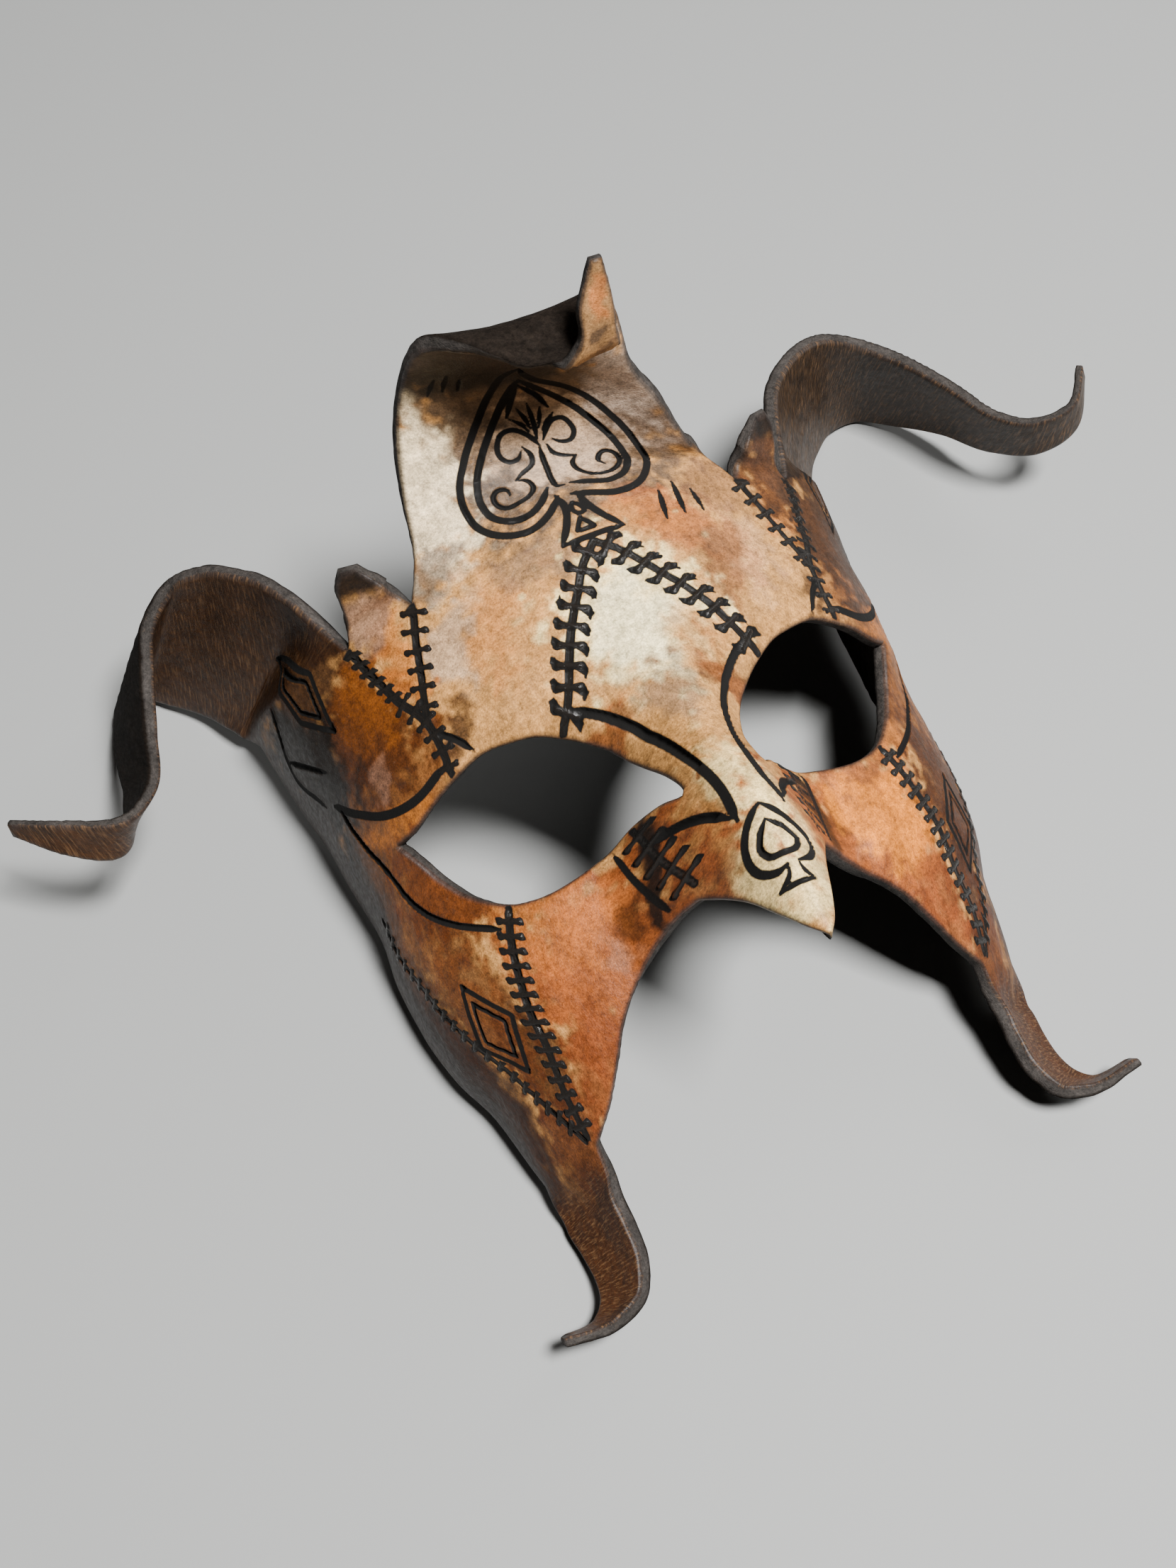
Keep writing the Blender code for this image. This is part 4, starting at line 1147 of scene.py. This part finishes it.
@dataclass
class DyeWithPaintedLight:
    """The dye: a tan ground, washes, and the darker strips; a few washes are painted shadow and painted
    highlight.
    """

    blank: Blank
    ground: tuple[float, float, float] = TAN
    washes: tuple[Wash, ...] = WASHES
    depth: float = 1.3          # above 1, the dye is deeper and more saturated
    strength: float = 0.8       # brightness of the whole dye
    broad_lump: float = 9.0     # size of the broad wandering of a wash's rim, mm
    broad_drift: float = 2.6    # and how far it goes, mm
    small_lump: float = 2.6     # size of the small wandering, mm
    small_drift: float = 0.9    # and how far it goes, mm
    tatter_lump: float = 3.1    # size of the tatters of a rim, mm
    fray_lump: float = 1.3      # and of the finer ones, mm
    fray: float = 0.6           # how strong the finer ones are
    rim: float = 1.2            # where a wash ends, in its radii
    softness: float = 0.5       # width over which it fades, in its radii

    def colours(self, q: Array) -> Array:
        """The dye at pattern places, with the painted shadow and highlights of a few washes.

        Args:
            q: Pattern places.

        Returns:
            Linear colours, one row a place.
        """
        broad = np.stack([ripple(q, self.broad_lump, seed) for seed in (1, 2)], axis=1)
        small = np.stack([ripple(q, self.small_lump, seed) for seed in (3, 4)], axis=1)
        p = q + (broad * self.broad_drift + small * self.small_drift)
        tatter = ripple(q, self.tatter_lump, 9) + self.fray * ripple(q, self.fray_lump, 10)
        colour = np.tile(srgb(self.ground), (len(q), 1))
        for wash in self.washes:
            for side in (1, -1) if wash.both else (1,):
                away = p - np.array(wash.centre) * (side, 1)
                c, s = math.cos(wash.turn * side), math.sin(wash.turn * side)
                x = (away[:, 0] * c + away[:, 1] * s) / wash.radii[0]
                y = (away[:, 1] * c - away[:, 0] * s) / wash.radii[1]
                inside = self.rim - np.hypot(x, y) + wash.ragged * tatter
                weight = wash.strength * smooth(inside / self.softness)
                colour += (srgb(wash.colour) - colour) * weight[:, None]
        return self.strips(q, p, colour) ** self.depth * self.strength

    def strips(self, q: Array, p: Array, colour: Array) -> Array:
        """Dyes the strips by their run.

        Args:
            q: Pattern places.
            p: The same places, wandering.
            colour: Colours so far.

        Returns:
            The colours with the strips dyed.
        """
        owner = self.blank.owner(q)
        for i, strip in enumerate(self.blank.strips):
            here = owner == i
            if not here.any():
                continue
            right_horn = strip.part is Part.HORN and strip.side > 0
            dye = RIGHT_HORN_DYE if right_horn else STRIP_DYES[strip.part]
            share = strip.local(p[here])[0] / strip.length
            dark = smooth((share - dye.start) / dye.span) * dye.strength
            colour[here] += (srgb(dye.tone) - colour[here]) * dark[:, None]
        return colour


@dataclass(frozen=True)
class Layer:
    """Noise over the leather: lumps a millimetre, octaves, weight of the fine ones, what the value becomes.

    The share says how strongly the layer works on the dye, where it does.
    """

    scale: float
    detail: float
    rough: float
    stops: Points
    share: float = 1.0


TONE = Layer(0.13, 7, 0.68, ((0.32, 0.62), (0.5, 1.0), (0.66, 1.35)))
MOTTLE = Layer(0.75, 6, 0.72, ((0.32, 0.45), (0.5, 1.0), (0.68, 1.45)), share=0.85)
FLECK = Layer(2.4, 4, 0.75, ((0.32, 0.4), (0.5, 1.0), (0.68, 1.5)), share=0.75)
DASH = Layer(1.0, 5, 0.6, ((0.5, 0.0), (0.64, 1.0)))
DASH_STRETCH = (0.3, 2.4, 1.0)                  # draws the dashes out across the pattern
INK_RAMP = ((0.35, 0.0), (0.65, 1.0))           # sharpens the rim of the ink
WET_RAMP = ((0.3, 0.62), (0.7, 0.24))           # roughness from plain ink to lace
STAIN_COLOUR = (0.03, 0.022, 0.017, 1)
SCUFF_COLOUR = (0.50, 0.33, 0.20, 1)
DASH_COLOUR = (0.20, 0.105, 0.045, 1)
INK_COLOUR = (0.004, 0.0035, 0.003, 1)
# Painted highlight: a charcoal a little lighter than the ink, on the glossy top of each lace.
LACE_HIGHLIGHT_COLOUR = (0.013, 0.011, 0.0095, 1)
PORE_DEPTH = 0.16 * MM
WAVE_DEPTH = 0.3 * MM
COAT_ROUGHNESS = 0.32


class Nodes:
    """A short way to add and join a material's nodes."""

    def __init__(self, material: bpy.types.Material) -> None:
        """Takes the material's tree."""
        self.tree = material.node_tree

    def link(self, source: object, target: bpy.types.NodeSocket) -> None:
        """Joins a socket, a node's first output or a plain value to an input.

        Args:
            source: What to join.
            target: The input.
        """
        if isinstance(source, bpy.types.NodeSocket):
            self.tree.links.new(source, target)
        elif isinstance(source, bpy.types.Node):
            self.tree.links.new(source.outputs[0], target)
        else:
            target.default_value = source

    def add(self, kind: str, **inputs: object) -> bpy.types.Node:
        """Adds a node.

        Args:
            kind: Its type.
            **inputs: What its named inputs get.

        Returns:
            The node.
        """
        node = self.tree.nodes.new(kind)
        for name, value in inputs.items():
            self.link(value, node.inputs[name])
        return node

    def attribute(self, name: str, output: str = "Color") -> bpy.types.NodeSocket:
        """Reads an attribute of the piece's own mesh.

        Args:
            name: The attribute.
            output: Which output of it.

        Returns:
            The socket.
        """
        node = self.add("ShaderNodeAttribute")
        node.attribute_name = name
        return node.outputs[output]

    def noise(self, place: bpy.types.NodeSocket, scale: float, detail: float,
              rough: float) -> bpy.types.NodeSocket:
        """Noise over the pattern.

        Args:
            place: Pattern places, mm.
            scale: Lumps a millimetre.
            detail: Octaves.
            rough: How strong the fine octaves are.

        Returns:
            The value, 0 to 1.
        """
        node = self.add("ShaderNodeTexNoise", Vector=place, Scale=scale, Detail=detail, Roughness=rough)
        return node.outputs["Fac"]

    def layer(self, place: bpy.types.NodeSocket, layer: Layer) -> bpy.types.NodeSocket:
        """One layer of noise, mapped through its stops."""
        return self.ramp(self.noise(place, layer.scale, layer.detail, layer.rough), layer.stops)

    def ramp(self, value: bpy.types.NodeSocket, stops: Points) -> bpy.types.NodeSocket:
        """Maps a value through stops.

        Args:
            value: The value.
            stops: (place, result) rows, rising.

        Returns:
            The result.
        """
        node = self.add("ShaderNodeFloatCurve")
        curve = node.mapping.curves[0]
        low = min(stops[0][1], 0.0)
        high = max(max(s[1] for s in stops), 1.0)
        node.mapping.use_clip = True
        node.mapping.clip_max_y = high
        node.mapping.clip_min_y = low
        for point, stop in zip((curve.points[0], curve.points[1]), (stops[0], stops[-1])):
            point.location = stop
        for stop in stops[1:-1]:
            curve.points.new(*stop)
        for point in curve.points:
            point.handle_type = "VECTOR"
        node.mapping.update()
        self.link(value, node.inputs["Value"])
        return node.outputs[0]

    def times(self, first: bpy.types.NodeSocket, second: bpy.types.NodeSocket) -> bpy.types.NodeSocket:
        """The product of two values."""
        node = self.add("ShaderNodeMath")
        node.operation = "MULTIPLY"
        self.link(first, node.inputs[0])
        self.link(second, node.inputs[1])
        return node.outputs[0]

    def mix(self, kind: str, share: object, first: object, second: object) -> bpy.types.NodeSocket:
        """Mixes two colours.

        Args:
            kind: How they mix.
            share: How much of the second.
            first: The first colour.
            second: The second.

        Returns:
            The mixed colour.
        """
        node = self.add("ShaderNodeMix")
        node.data_type = "RGBA"
        node.blend_type = kind
        self.link(share, node.inputs["Factor"])
        self.link(first, node.inputs["A"])
        self.link(second, node.inputs["B"])
        return node.outputs["Result"]


@dataclass(frozen=True)
class LeatherFinish:
    """The grain side, the cut edge or the suede back of the same leather."""

    name: str
    rough: float
    grain: float
    specular: float
    coat: float = 0.0
    stain: float = 0.0
    wear: float = 0.0

    def material(self) -> bpy.types.Material:
        """Makes the material.

        Returns:
            The material, which reads the sheet's own attributes.
        """
        material = bpy.data.materials.new(self.name)
        material.use_nodes = True
        tree = Nodes(material)
        # The dye attribute also holds the few washes of painted shadow and highlight.
        dye = tree.attribute("dye")
        marks = tree.add("ShaderNodeSeparateColor", Color=tree.attribute("marks"))
        place = tree.attribute("pattern", "Vector")
        shaded = self.worn(tree, place, self.mottled(tree, place, dye), marks.outputs["Blue"])
        ink = tree.ramp(marks.outputs["Red"], INK_RAMP)
        # The glossy top of each lace is mixed to the lighter charcoal, a painted highlight over the black
        # ink.
        cord = tree.mix("MIX", marks.outputs["Green"], INK_COLOUR, LACE_HIGHLIGHT_COLOUR)
        colour = tree.mix("MIX", ink, shaded, cord)
        shader = material.node_tree.nodes["Principled BSDF"]
        tree.link(colour, shader.inputs["Base Color"])
        uneven = Layer(0.9, 4, 0.6, ((0.3, self.rough - 0.1), (0.7, self.rough + 0.12)))
        rough = tree.layer(place, uneven)
        wet = tree.ramp(marks.outputs["Green"], WET_RAMP)
        tree.link(tree.mix("MIX", ink, rough, wet), shader.inputs["Roughness"])
        tree.link(self.bumps(tree, place), shader.inputs["Normal"])
        shader.inputs["Coat Weight"].default_value = self.coat
        shader.inputs["Coat Roughness"].default_value = COAT_ROUGHNESS
        shader.inputs["Specular IOR Level"].default_value = self.specular
        return material

    def mottled(self, tree: Nodes, place: bpy.types.NodeSocket,
                dye: bpy.types.NodeSocket) -> bpy.types.NodeSocket:
        """The dye with the leather's own unevenness.

        Args:
            tree: The material's nodes.
            place: Pattern places.
            dye: The dye.

        Returns:
            The colour.
        """
        layers = (TONE, MOTTLE, FLECK)
        values = [tree.layer(place, layer) for layer in layers]
        shaded = dye
        for layer, value in zip(layers, values):
            shaded = tree.mix("MULTIPLY", layer.share, shaded, value)
        return shaded

    def worn(self, tree: Nodes, place: bpy.types.NodeSocket, shaded: bpy.types.NodeSocket,
             dashes: bpy.types.NodeSocket) -> bpy.types.NodeSocket:
        """The colour with stains, scuffs and the dashes of the bent strips.

        Args:
            tree: The material's nodes.
            place: Pattern places.
            shaded: The colour so far.
            dashes: How strongly the dashes show.

        Returns:
            The colour.
        """
        stain = tree.layer(place, Layer(0.2, 8, 0.72, ((0.56, 0.0), (0.68, self.stain))))
        shaded = tree.mix("MIX", stain, shaded, STAIN_COLOUR)
        wear = tree.layer(place, Layer(0.9, 6, 0.75, ((0.62, 0.0), (0.74, self.wear))))
        shaded = tree.mix("MIX", wear, shaded, SCUFF_COLOUR)
        across = tree.add("ShaderNodeMapping", Vector=place, Scale=DASH_STRETCH)
        dash = tree.layer(across.outputs[0], DASH)
        return tree.mix("MIX", tree.times(dash, dashes), shaded, DASH_COLOUR)

    def bumps(self, tree: Nodes, place: bpy.types.NodeSocket) -> bpy.types.NodeSocket:
        """The pores and the shallow waves of the surface.

        Args:
            tree: The material's nodes.
            place: Pattern places.

        Returns:
            The normal.
        """
        pores = tree.add("ShaderNodeBump", Height=tree.noise(place, 3.0, 6, 0.62))
        pores.inputs["Strength"].default_value = self.grain
        pores.inputs["Distance"].default_value = PORE_DEPTH
        height = tree.noise(place, 0.5, 3, 0.5)
        waves = tree.add("ShaderNodeBump", Height=height, Normal=pores.outputs["Normal"])
        waves.inputs["Strength"].default_value = self.grain
        waves.inputs["Distance"].default_value = WAVE_DEPTH
        return waves.outputs["Normal"]


FINISHES = (
    LeatherFinish("grain side", 0.44, 0.6, 0.2, coat=0.03, stain=0.4, wear=0.22),
    LeatherFinish("suede back", 0.9, 1.0, 0.06),
    LeatherFinish("cut edge", 0.8, 1.0, 0.15, wear=0.22),
)


@dataclass
class MaskLeather:
    """The sheet itself: both sides and the cut edges in one closed mesh."""

    blank: Blank = field(default_factory=Blank)
    carving: Carving = field(default_factory=Carving)
    edge_step: float = 0.8          # distance between points of the outline, mm
    fine: float = 0.42              # between points of the carving, mm
    middling: float = 0.66          # between points beside it, mm
    coarse: float = 1.1             # between points of plain leather, mm
    carved_reach: float = 0.7       # how far from the carving the fine points go, mm
    beside_reach: float = 1.6       # and the middling ones, mm
    rings: tuple[float, ...] = (0.22, 0.5, 0.9, 1.5)    # insets of the rows along the edges, mm
    ring_gap: float = 0.45          # room kept inside the last of them, in point distances
    back: float = 1.9               # distance between points of the back, mm
    back_rings: tuple[float, ...] = (0.45, 1.0)         # insets of the back's rows, mm
    back_inset: float = 1.6         # where its other points begin, mm
    round_grain: float = 0.8        # radius of the edge on the grain side, mm
    round_back: float = 0.5         # and on the back, mm
    rows: int = 4                   # rows of faces on the cut edge
    forming: float = 0.16           # height of the broad lumps that the forming leaves, mm
    forming_size: float = 11.0      # their size, mm
    dimples: float = 0.07           # height of the small lumps, mm
    dimple_size: float = 3.4        # their size, mm
    lump_edge: float = 3.0          # width along the cut edges where the lumps fade, mm
    carved_edge: float = 0.8        # width there where the carving fades, mm
    nap: float = 0.09               # height of the suede's nap, mm
    nap_size: float = 2.2           # its lumps, mm
    bulge: float = 0.14             # how far the cut edge swells, mm
    fray: float = 0.10              # its unevenness, mm
    fray_size: float = 0.9          # lumps of that, mm
    burn_reach: float = 0.85        # how far in from the edge the grain side is burnt, mm
    burn_edge: float = 0.7          # width over which the burn ends, mm
    burn: float = 0.85              # how dark it is
    dash_strength: float = 0.42     # of the tan dashes on the bent strips
    dash_start: float = 6.0         # run length over which they set in, mm
    ink: Array = field(init=False)
    lace: Array = field(init=False)
    edge: Array = field(init=False)
    rim_counts: list[int] = field(init=False)

    def grain_places(self, blade: Blade) -> Array:
        """Scatters the places of the grain side.

        Args:
            blade: The outline.

        Returns:
            Places, dense by the carving.
        """
        out = [blade.rings(self.rings)]
        bands = ((self.fine, -math.inf, self.carved_reach),
                 (self.middling, self.carved_reach, self.beside_reach),
                 (self.coarse, self.beside_reach, math.inf))
        for spacing, nearest, farthest in bands:
            q = blade.lattice(spacing)
            gap = self.carving.distance(q)
            q = q[(gap > nearest) & (gap <= farthest)]
            out.append(q[blade.from_edge(q) > self.rings[-1] + self.ring_gap * spacing])
        return np.concatenate(out)

    def build(self) -> bpy.types.Object:
        """Makes the closed mesh and dresses it.

        Returns:
            The finished piece, in place.
        """
        blade = Blade(self.blank, self.carving, self.edge_step)
        q, tris, rims = blade.triangles(self.grain_places(blade))
        inner = blade.lattice(self.back)
        inner = inner[blade.from_edge(inner) > self.back_inset]
        inner = np.concatenate((blade.rings(self.back_rings), inner))
        under, under_tris, under_rims = blade.triangles(inner)
        log.info("pattern: %d places on the grain side, %d on the back", len(q), len(under))
        top = self.grain_side(blade, q)
        low = self.back_side(blade, under)
        walls, wall_faces, wall_places = self.edges(top, low, q, rims, under_rims)
        verts = np.concatenate((top, low, walls))
        faces = [tris, under_tris[:, ::-1] + len(q), wall_faces]
        places = np.concatenate((q, under, wall_places))
        mesh = bpy.data.meshes.new("mask_leather")
        mesh.from_pydata(((verts - ORIGIN) * MM).tolist(), [], np.concatenate(faces).tolist())
        self.dress(mesh, places, len(q), len(under), [len(f) for f in faces])
        piece = bpy.data.objects.new("mask_leather", mesh)
        bpy.context.scene.collection.objects.link(piece)
        return piece

    def grain_side(self, blade: Blade, q: Array) -> Array:
        """Raises the grain side.

        Args:
            blade: The outline.
            q: Its places.

        Returns:
            Points, mm.
        """
        point, normal, thick = self.blank.surfaces(q)
        height, self.ink, self.lace = self.carving.relief(q)
        share = thick / LEATHER
        self.edge = blade.from_edge(q)
        drop = self.rounding(self.edge, self.round_grain * share)
        lumps = self.forming * ripple(q, self.forming_size, 5) + self.dimples * ripple(q, self.dimple_size, 6)
        carved = height * share * smooth(self.edge / self.carved_edge)
        return point + normal * (carved - drop + lumps * smooth(self.edge / self.lump_edge))[:, None]

    def back_side(self, blade: Blade, q: Array) -> Array:
        """Lowers the suede back.

        Args:
            blade: The outline.
            q: Its places.

        Returns:
            Points, mm.
        """
        point, normal, thick = self.blank.surfaces(q)
        drop = self.rounding(blade.from_edge(q), self.round_back * thick / LEATHER)
        nap = self.nap * ripple(q, self.nap_size, 7)
        return point - normal * (thick - drop + nap)[:, None]

    @staticmethod
    def rounding(edge: Array, radius: Array) -> Array:
        """How far a rounded edge falls away.

        Args:
            edge: Distances from the cut, mm.
            radius: Radius of the rounding at each, mm.

        Returns:
            The fall at each, mm.
        """
        inside = np.clip(1 - edge / radius, 0, 1)
        not_upright = 0.999
        return radius * (1 - np.sqrt(1 - inside * inside * not_upright))

    def edges(self, top: Array, low: Array, q: Array, rims: list[Array],
              under_rims: list[Array]) -> tuple[Array, Array, Array]:
        """Closes the cut edges between the two sides.

        Args:
            top: Grain-side points.
            low: Back points.
            q: Pattern places of the grain side.
            rims: Outline points in the grain side, loop by loop.
            under_rims: Outline points in the back, loop by loop.

        Returns:
            New points, the faces of the edges and the pattern place of each new point.
        """
        points, faces, places = [], [], []
        start = len(top) + len(low)
        self.rim_counts = [len(rim) for rim in rims]
        for rim, under_rim in zip(rims, under_rims):
            count = len(rim)
            a, b = top[rim], low[under_rim]
            run = unit(np.roll(a, -1, axis=0) - np.roll(a, 1, axis=0))
            down = unit(b - a)
            out = unit(np.cross(down, run))
            rows = [rim]
            for k in range(1, self.rows):
                share = k / self.rows
                spot = np.concatenate((q[rim], np.full((count, 1), share * 3)), axis=1)
                fray = self.fray * ripple(spot, self.fray_size, 8)
                bulge = self.bulge * math.sin(math.pi * share) + fray
                points.append(a + (b - a) * share + out * bulge[:, None])
                places.append(q[rim])
                rows.append(np.arange(start, start + count))
                start += count
            rows.append(under_rim + len(top))
            for upper, lower in zip(rows[:-1], rows[1:]):
                after_upper, after_lower = np.roll(upper, -1), np.roll(lower, -1)
                faces.append(np.stack((upper, lower, after_lower), axis=1))
                faces.append(np.stack((upper, after_lower, after_upper), axis=1))
        return np.concatenate(points), np.concatenate(faces), np.concatenate(places)

    def depths(self, grain: int, back: int, total: int) -> Array:
        """How far below the grain side each point lies, mm, for the noise of the cut edges."""
        depth = np.zeros(total)
        depth[grain:grain + back] = LEATHER
        start = grain + back
        for count in self.rim_counts:
            for k in range(1, self.rows):
                depth[start:start + count] = LEATHER * k / self.rows
                start += count
        return depth

    def streaks(self, q: Array) -> Array:
        """How strongly the tan dashes of the bent strips show, 0 to 1.

        Args:
            q: Pattern places.

        Returns:
            A value for each place.
        """
        out = np.zeros(len(q))
        owner = self.blank.owner(q)
        for i, strip in enumerate(self.blank.strips):
            here = owner == i
            if strip.part in (Part.HORN, Part.TAIL) and here.any():
                run = strip.local(q[here])[0]
                out[here] = self.dash_strength * smooth(run / self.dash_start)
        return out

    def dress(self, mesh: bpy.types.Mesh, places: Array, grain: int, back: int,
              counts: list[int]) -> None:
        """Gives the mesh its attributes and materials.

        Args:
            mesh: The mesh.
            places: Pattern place of each point.
            grain: Points on the grain side.
            back: Points on the back.
            counts: Faces on the grain side, the back and the edges.
        """
        total = len(places)
        # Dye colours, with the painted shadow and highlights of a few washes among them.
        dye = DyeWithPaintedLight(self.blank).colours(places)
        dye[grain:grain + back] = srgb(SUEDE_DARK)
        dye[grain + back:] = srgb(EDGE_GREY)
        burn = smooth((self.burn_reach - self.edge) / self.burn_edge) * self.burn
        dye[:grain] += (srgb(BURNT) - dye[:grain]) * burn[:, None]
        ink = np.zeros(total)
        ink[:grain] = self.ink
        lace = np.zeros(total)
        lace[:grain] = self.lace
        streaks = np.zeros(total)
        streaks[:grain] = self.streaks(places[:grain])
        marks = np.stack((ink, lace, streaks, np.ones(total)), axis=1)
        colour = np.concatenate((dye, np.ones((total, 1))), axis=1)
        spot = np.concatenate((places, self.depths(grain, back, total)[:, None]), axis=1)
        for name, kind, data, key in (("dye", "FLOAT_COLOR", colour, "color"),
                                      ("marks", "FLOAT_COLOR", marks, "color"),
                                      ("pattern", "FLOAT_VECTOR", spot, "vector")):
            layer = mesh.attributes.new(name, kind, "POINT")
            layer.data.foreach_set(key, data.astype(np.float32).ravel())
        for finish in FINISHES:
            mesh.materials.append(finish.material())
        slots = np.repeat((0, 1, 2), counts).astype(np.int32)
        mesh.polygons.foreach_set("material_index", slots)
        mesh.shade_smooth()
        mesh.update()


@dataclass
class Studio:
    """The pale floor, the soft light and the camera at the photograph's angle."""

    image: tuple[int, int] = (1659, 2212)
    focal: float = 2400.0
    elevation: float = 62.0
    heading: float = 25.44
    eye: tuple[float, float, float] = (-86.804, -134.662, 324.395)     # mm
    floor_size: float = 6.0                                             # metres
    floor_height: float = -0.0004                                       # just below the mask, metres
    floor_tone: tuple[float, ...] = (0.30, 0.302, 0.295, 1)
    floor_rough: float = 0.7
    target: tuple[float, float, float] = (0, 0, 0.04)                   # what the lights face, metres
    glow_tone: tuple[float, ...] = (0.9, 0.86, 0.8, 1)
    glow: float = 0.025

    def floor(self) -> bpy.types.Object:
        """Lays the floor.

        Returns:
            The floor.
        """
        bpy.ops.object.select_all(action="DESELECT")
        bpy.ops.mesh.primitive_plane_add(size=self.floor_size, location=(0, 0, self.floor_height))
        floor = bpy.context.active_object
        floor.name = "floor"
        material = bpy.data.materials.new("floor")
        material.use_nodes = True
        shader = material.node_tree.nodes["Principled BSDF"]
        shader.inputs["Base Color"].default_value = self.floor_tone
        shader.inputs["Roughness"].default_value = self.floor_rough
        floor.data.materials.append(material)
        return floor

    def light(self, name: str, place: tuple[float, float, float], size: float, power: float) -> None:
        """Hangs one soft light that faces the mask.

        Args:
            name: Its name.
            place: Where it hangs, metres.
            size: Side of its panel, metres.
            power: Watts.
        """
        bpy.ops.object.light_add(type="AREA", location=place)
        lamp = bpy.context.active_object
        lamp.name = name
        lamp.data.size = size
        lamp.data.energy = power
        towards = Vector(self.target) - Vector(place)
        lamp.rotation_euler = towards.to_track_quat("-Z", "Y").to_euler()

    def lights(self) -> None:
        """Hangs the lights and sets the room's glow."""
        self.light("key", (0.16, -0.22, 0.9), size=0.2, power=26)
        self.light("window", (0.7, 0.35, 0.6), size=0.5, power=2.5)
        world = bpy.context.scene.world or bpy.data.worlds.new("room")
        bpy.context.scene.world = world
        world.use_nodes = True
        background = world.node_tree.nodes["Background"]
        background.inputs["Color"].default_value = self.glow_tone
        background.inputs["Strength"].default_value = self.glow

    def camera(self) -> bpy.types.Object:
        """Sets up the camera.

        Returns:
            The camera.
        """
        turn, tilt = math.radians(self.heading), math.radians(self.elevation)
        right = Vector((math.cos(turn), -math.sin(turn), 0))
        level = Vector((math.sin(turn), math.cos(turn), 0))
        look = level * math.cos(tilt) - Vector((0, 0, math.sin(tilt)))
        up = level * math.sin(tilt) + Vector((0, 0, math.cos(tilt)))
        data = bpy.data.cameras.new("camera")
        data.sensor_fit = "HORIZONTAL"
        data.sensor_width = 36
        data.lens = data.sensor_width * self.focal / self.image[0]
        data.clip_start = 0.01
        camera = bpy.data.objects.new("camera", data)
        bpy.context.scene.collection.objects.link(camera)
        facing = Matrix((right, up, -look)).transposed().to_4x4()
        camera.matrix_world = Matrix.Translation(Vector(self.eye) * MM) @ facing
        bpy.context.scene.camera = camera
        return camera


def main() -> None:
    """Builds the studio and the mask."""
    logging.basicConfig(level=logging.INFO, format="%(name)s: %(message)s")
    studio = Studio()
    studio.camera()
    studio.floor()
    studio.lights()
    log.info("studio: camera, floor and lights are set")
    piece = MaskLeather().build()
    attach(piece, "root")
    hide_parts("mask")
    log.info("%s: %d points, %d faces", piece.name, len(piece.data.vertices), len(piece.data.polygons))


if __name__ == "__main__":
    main()
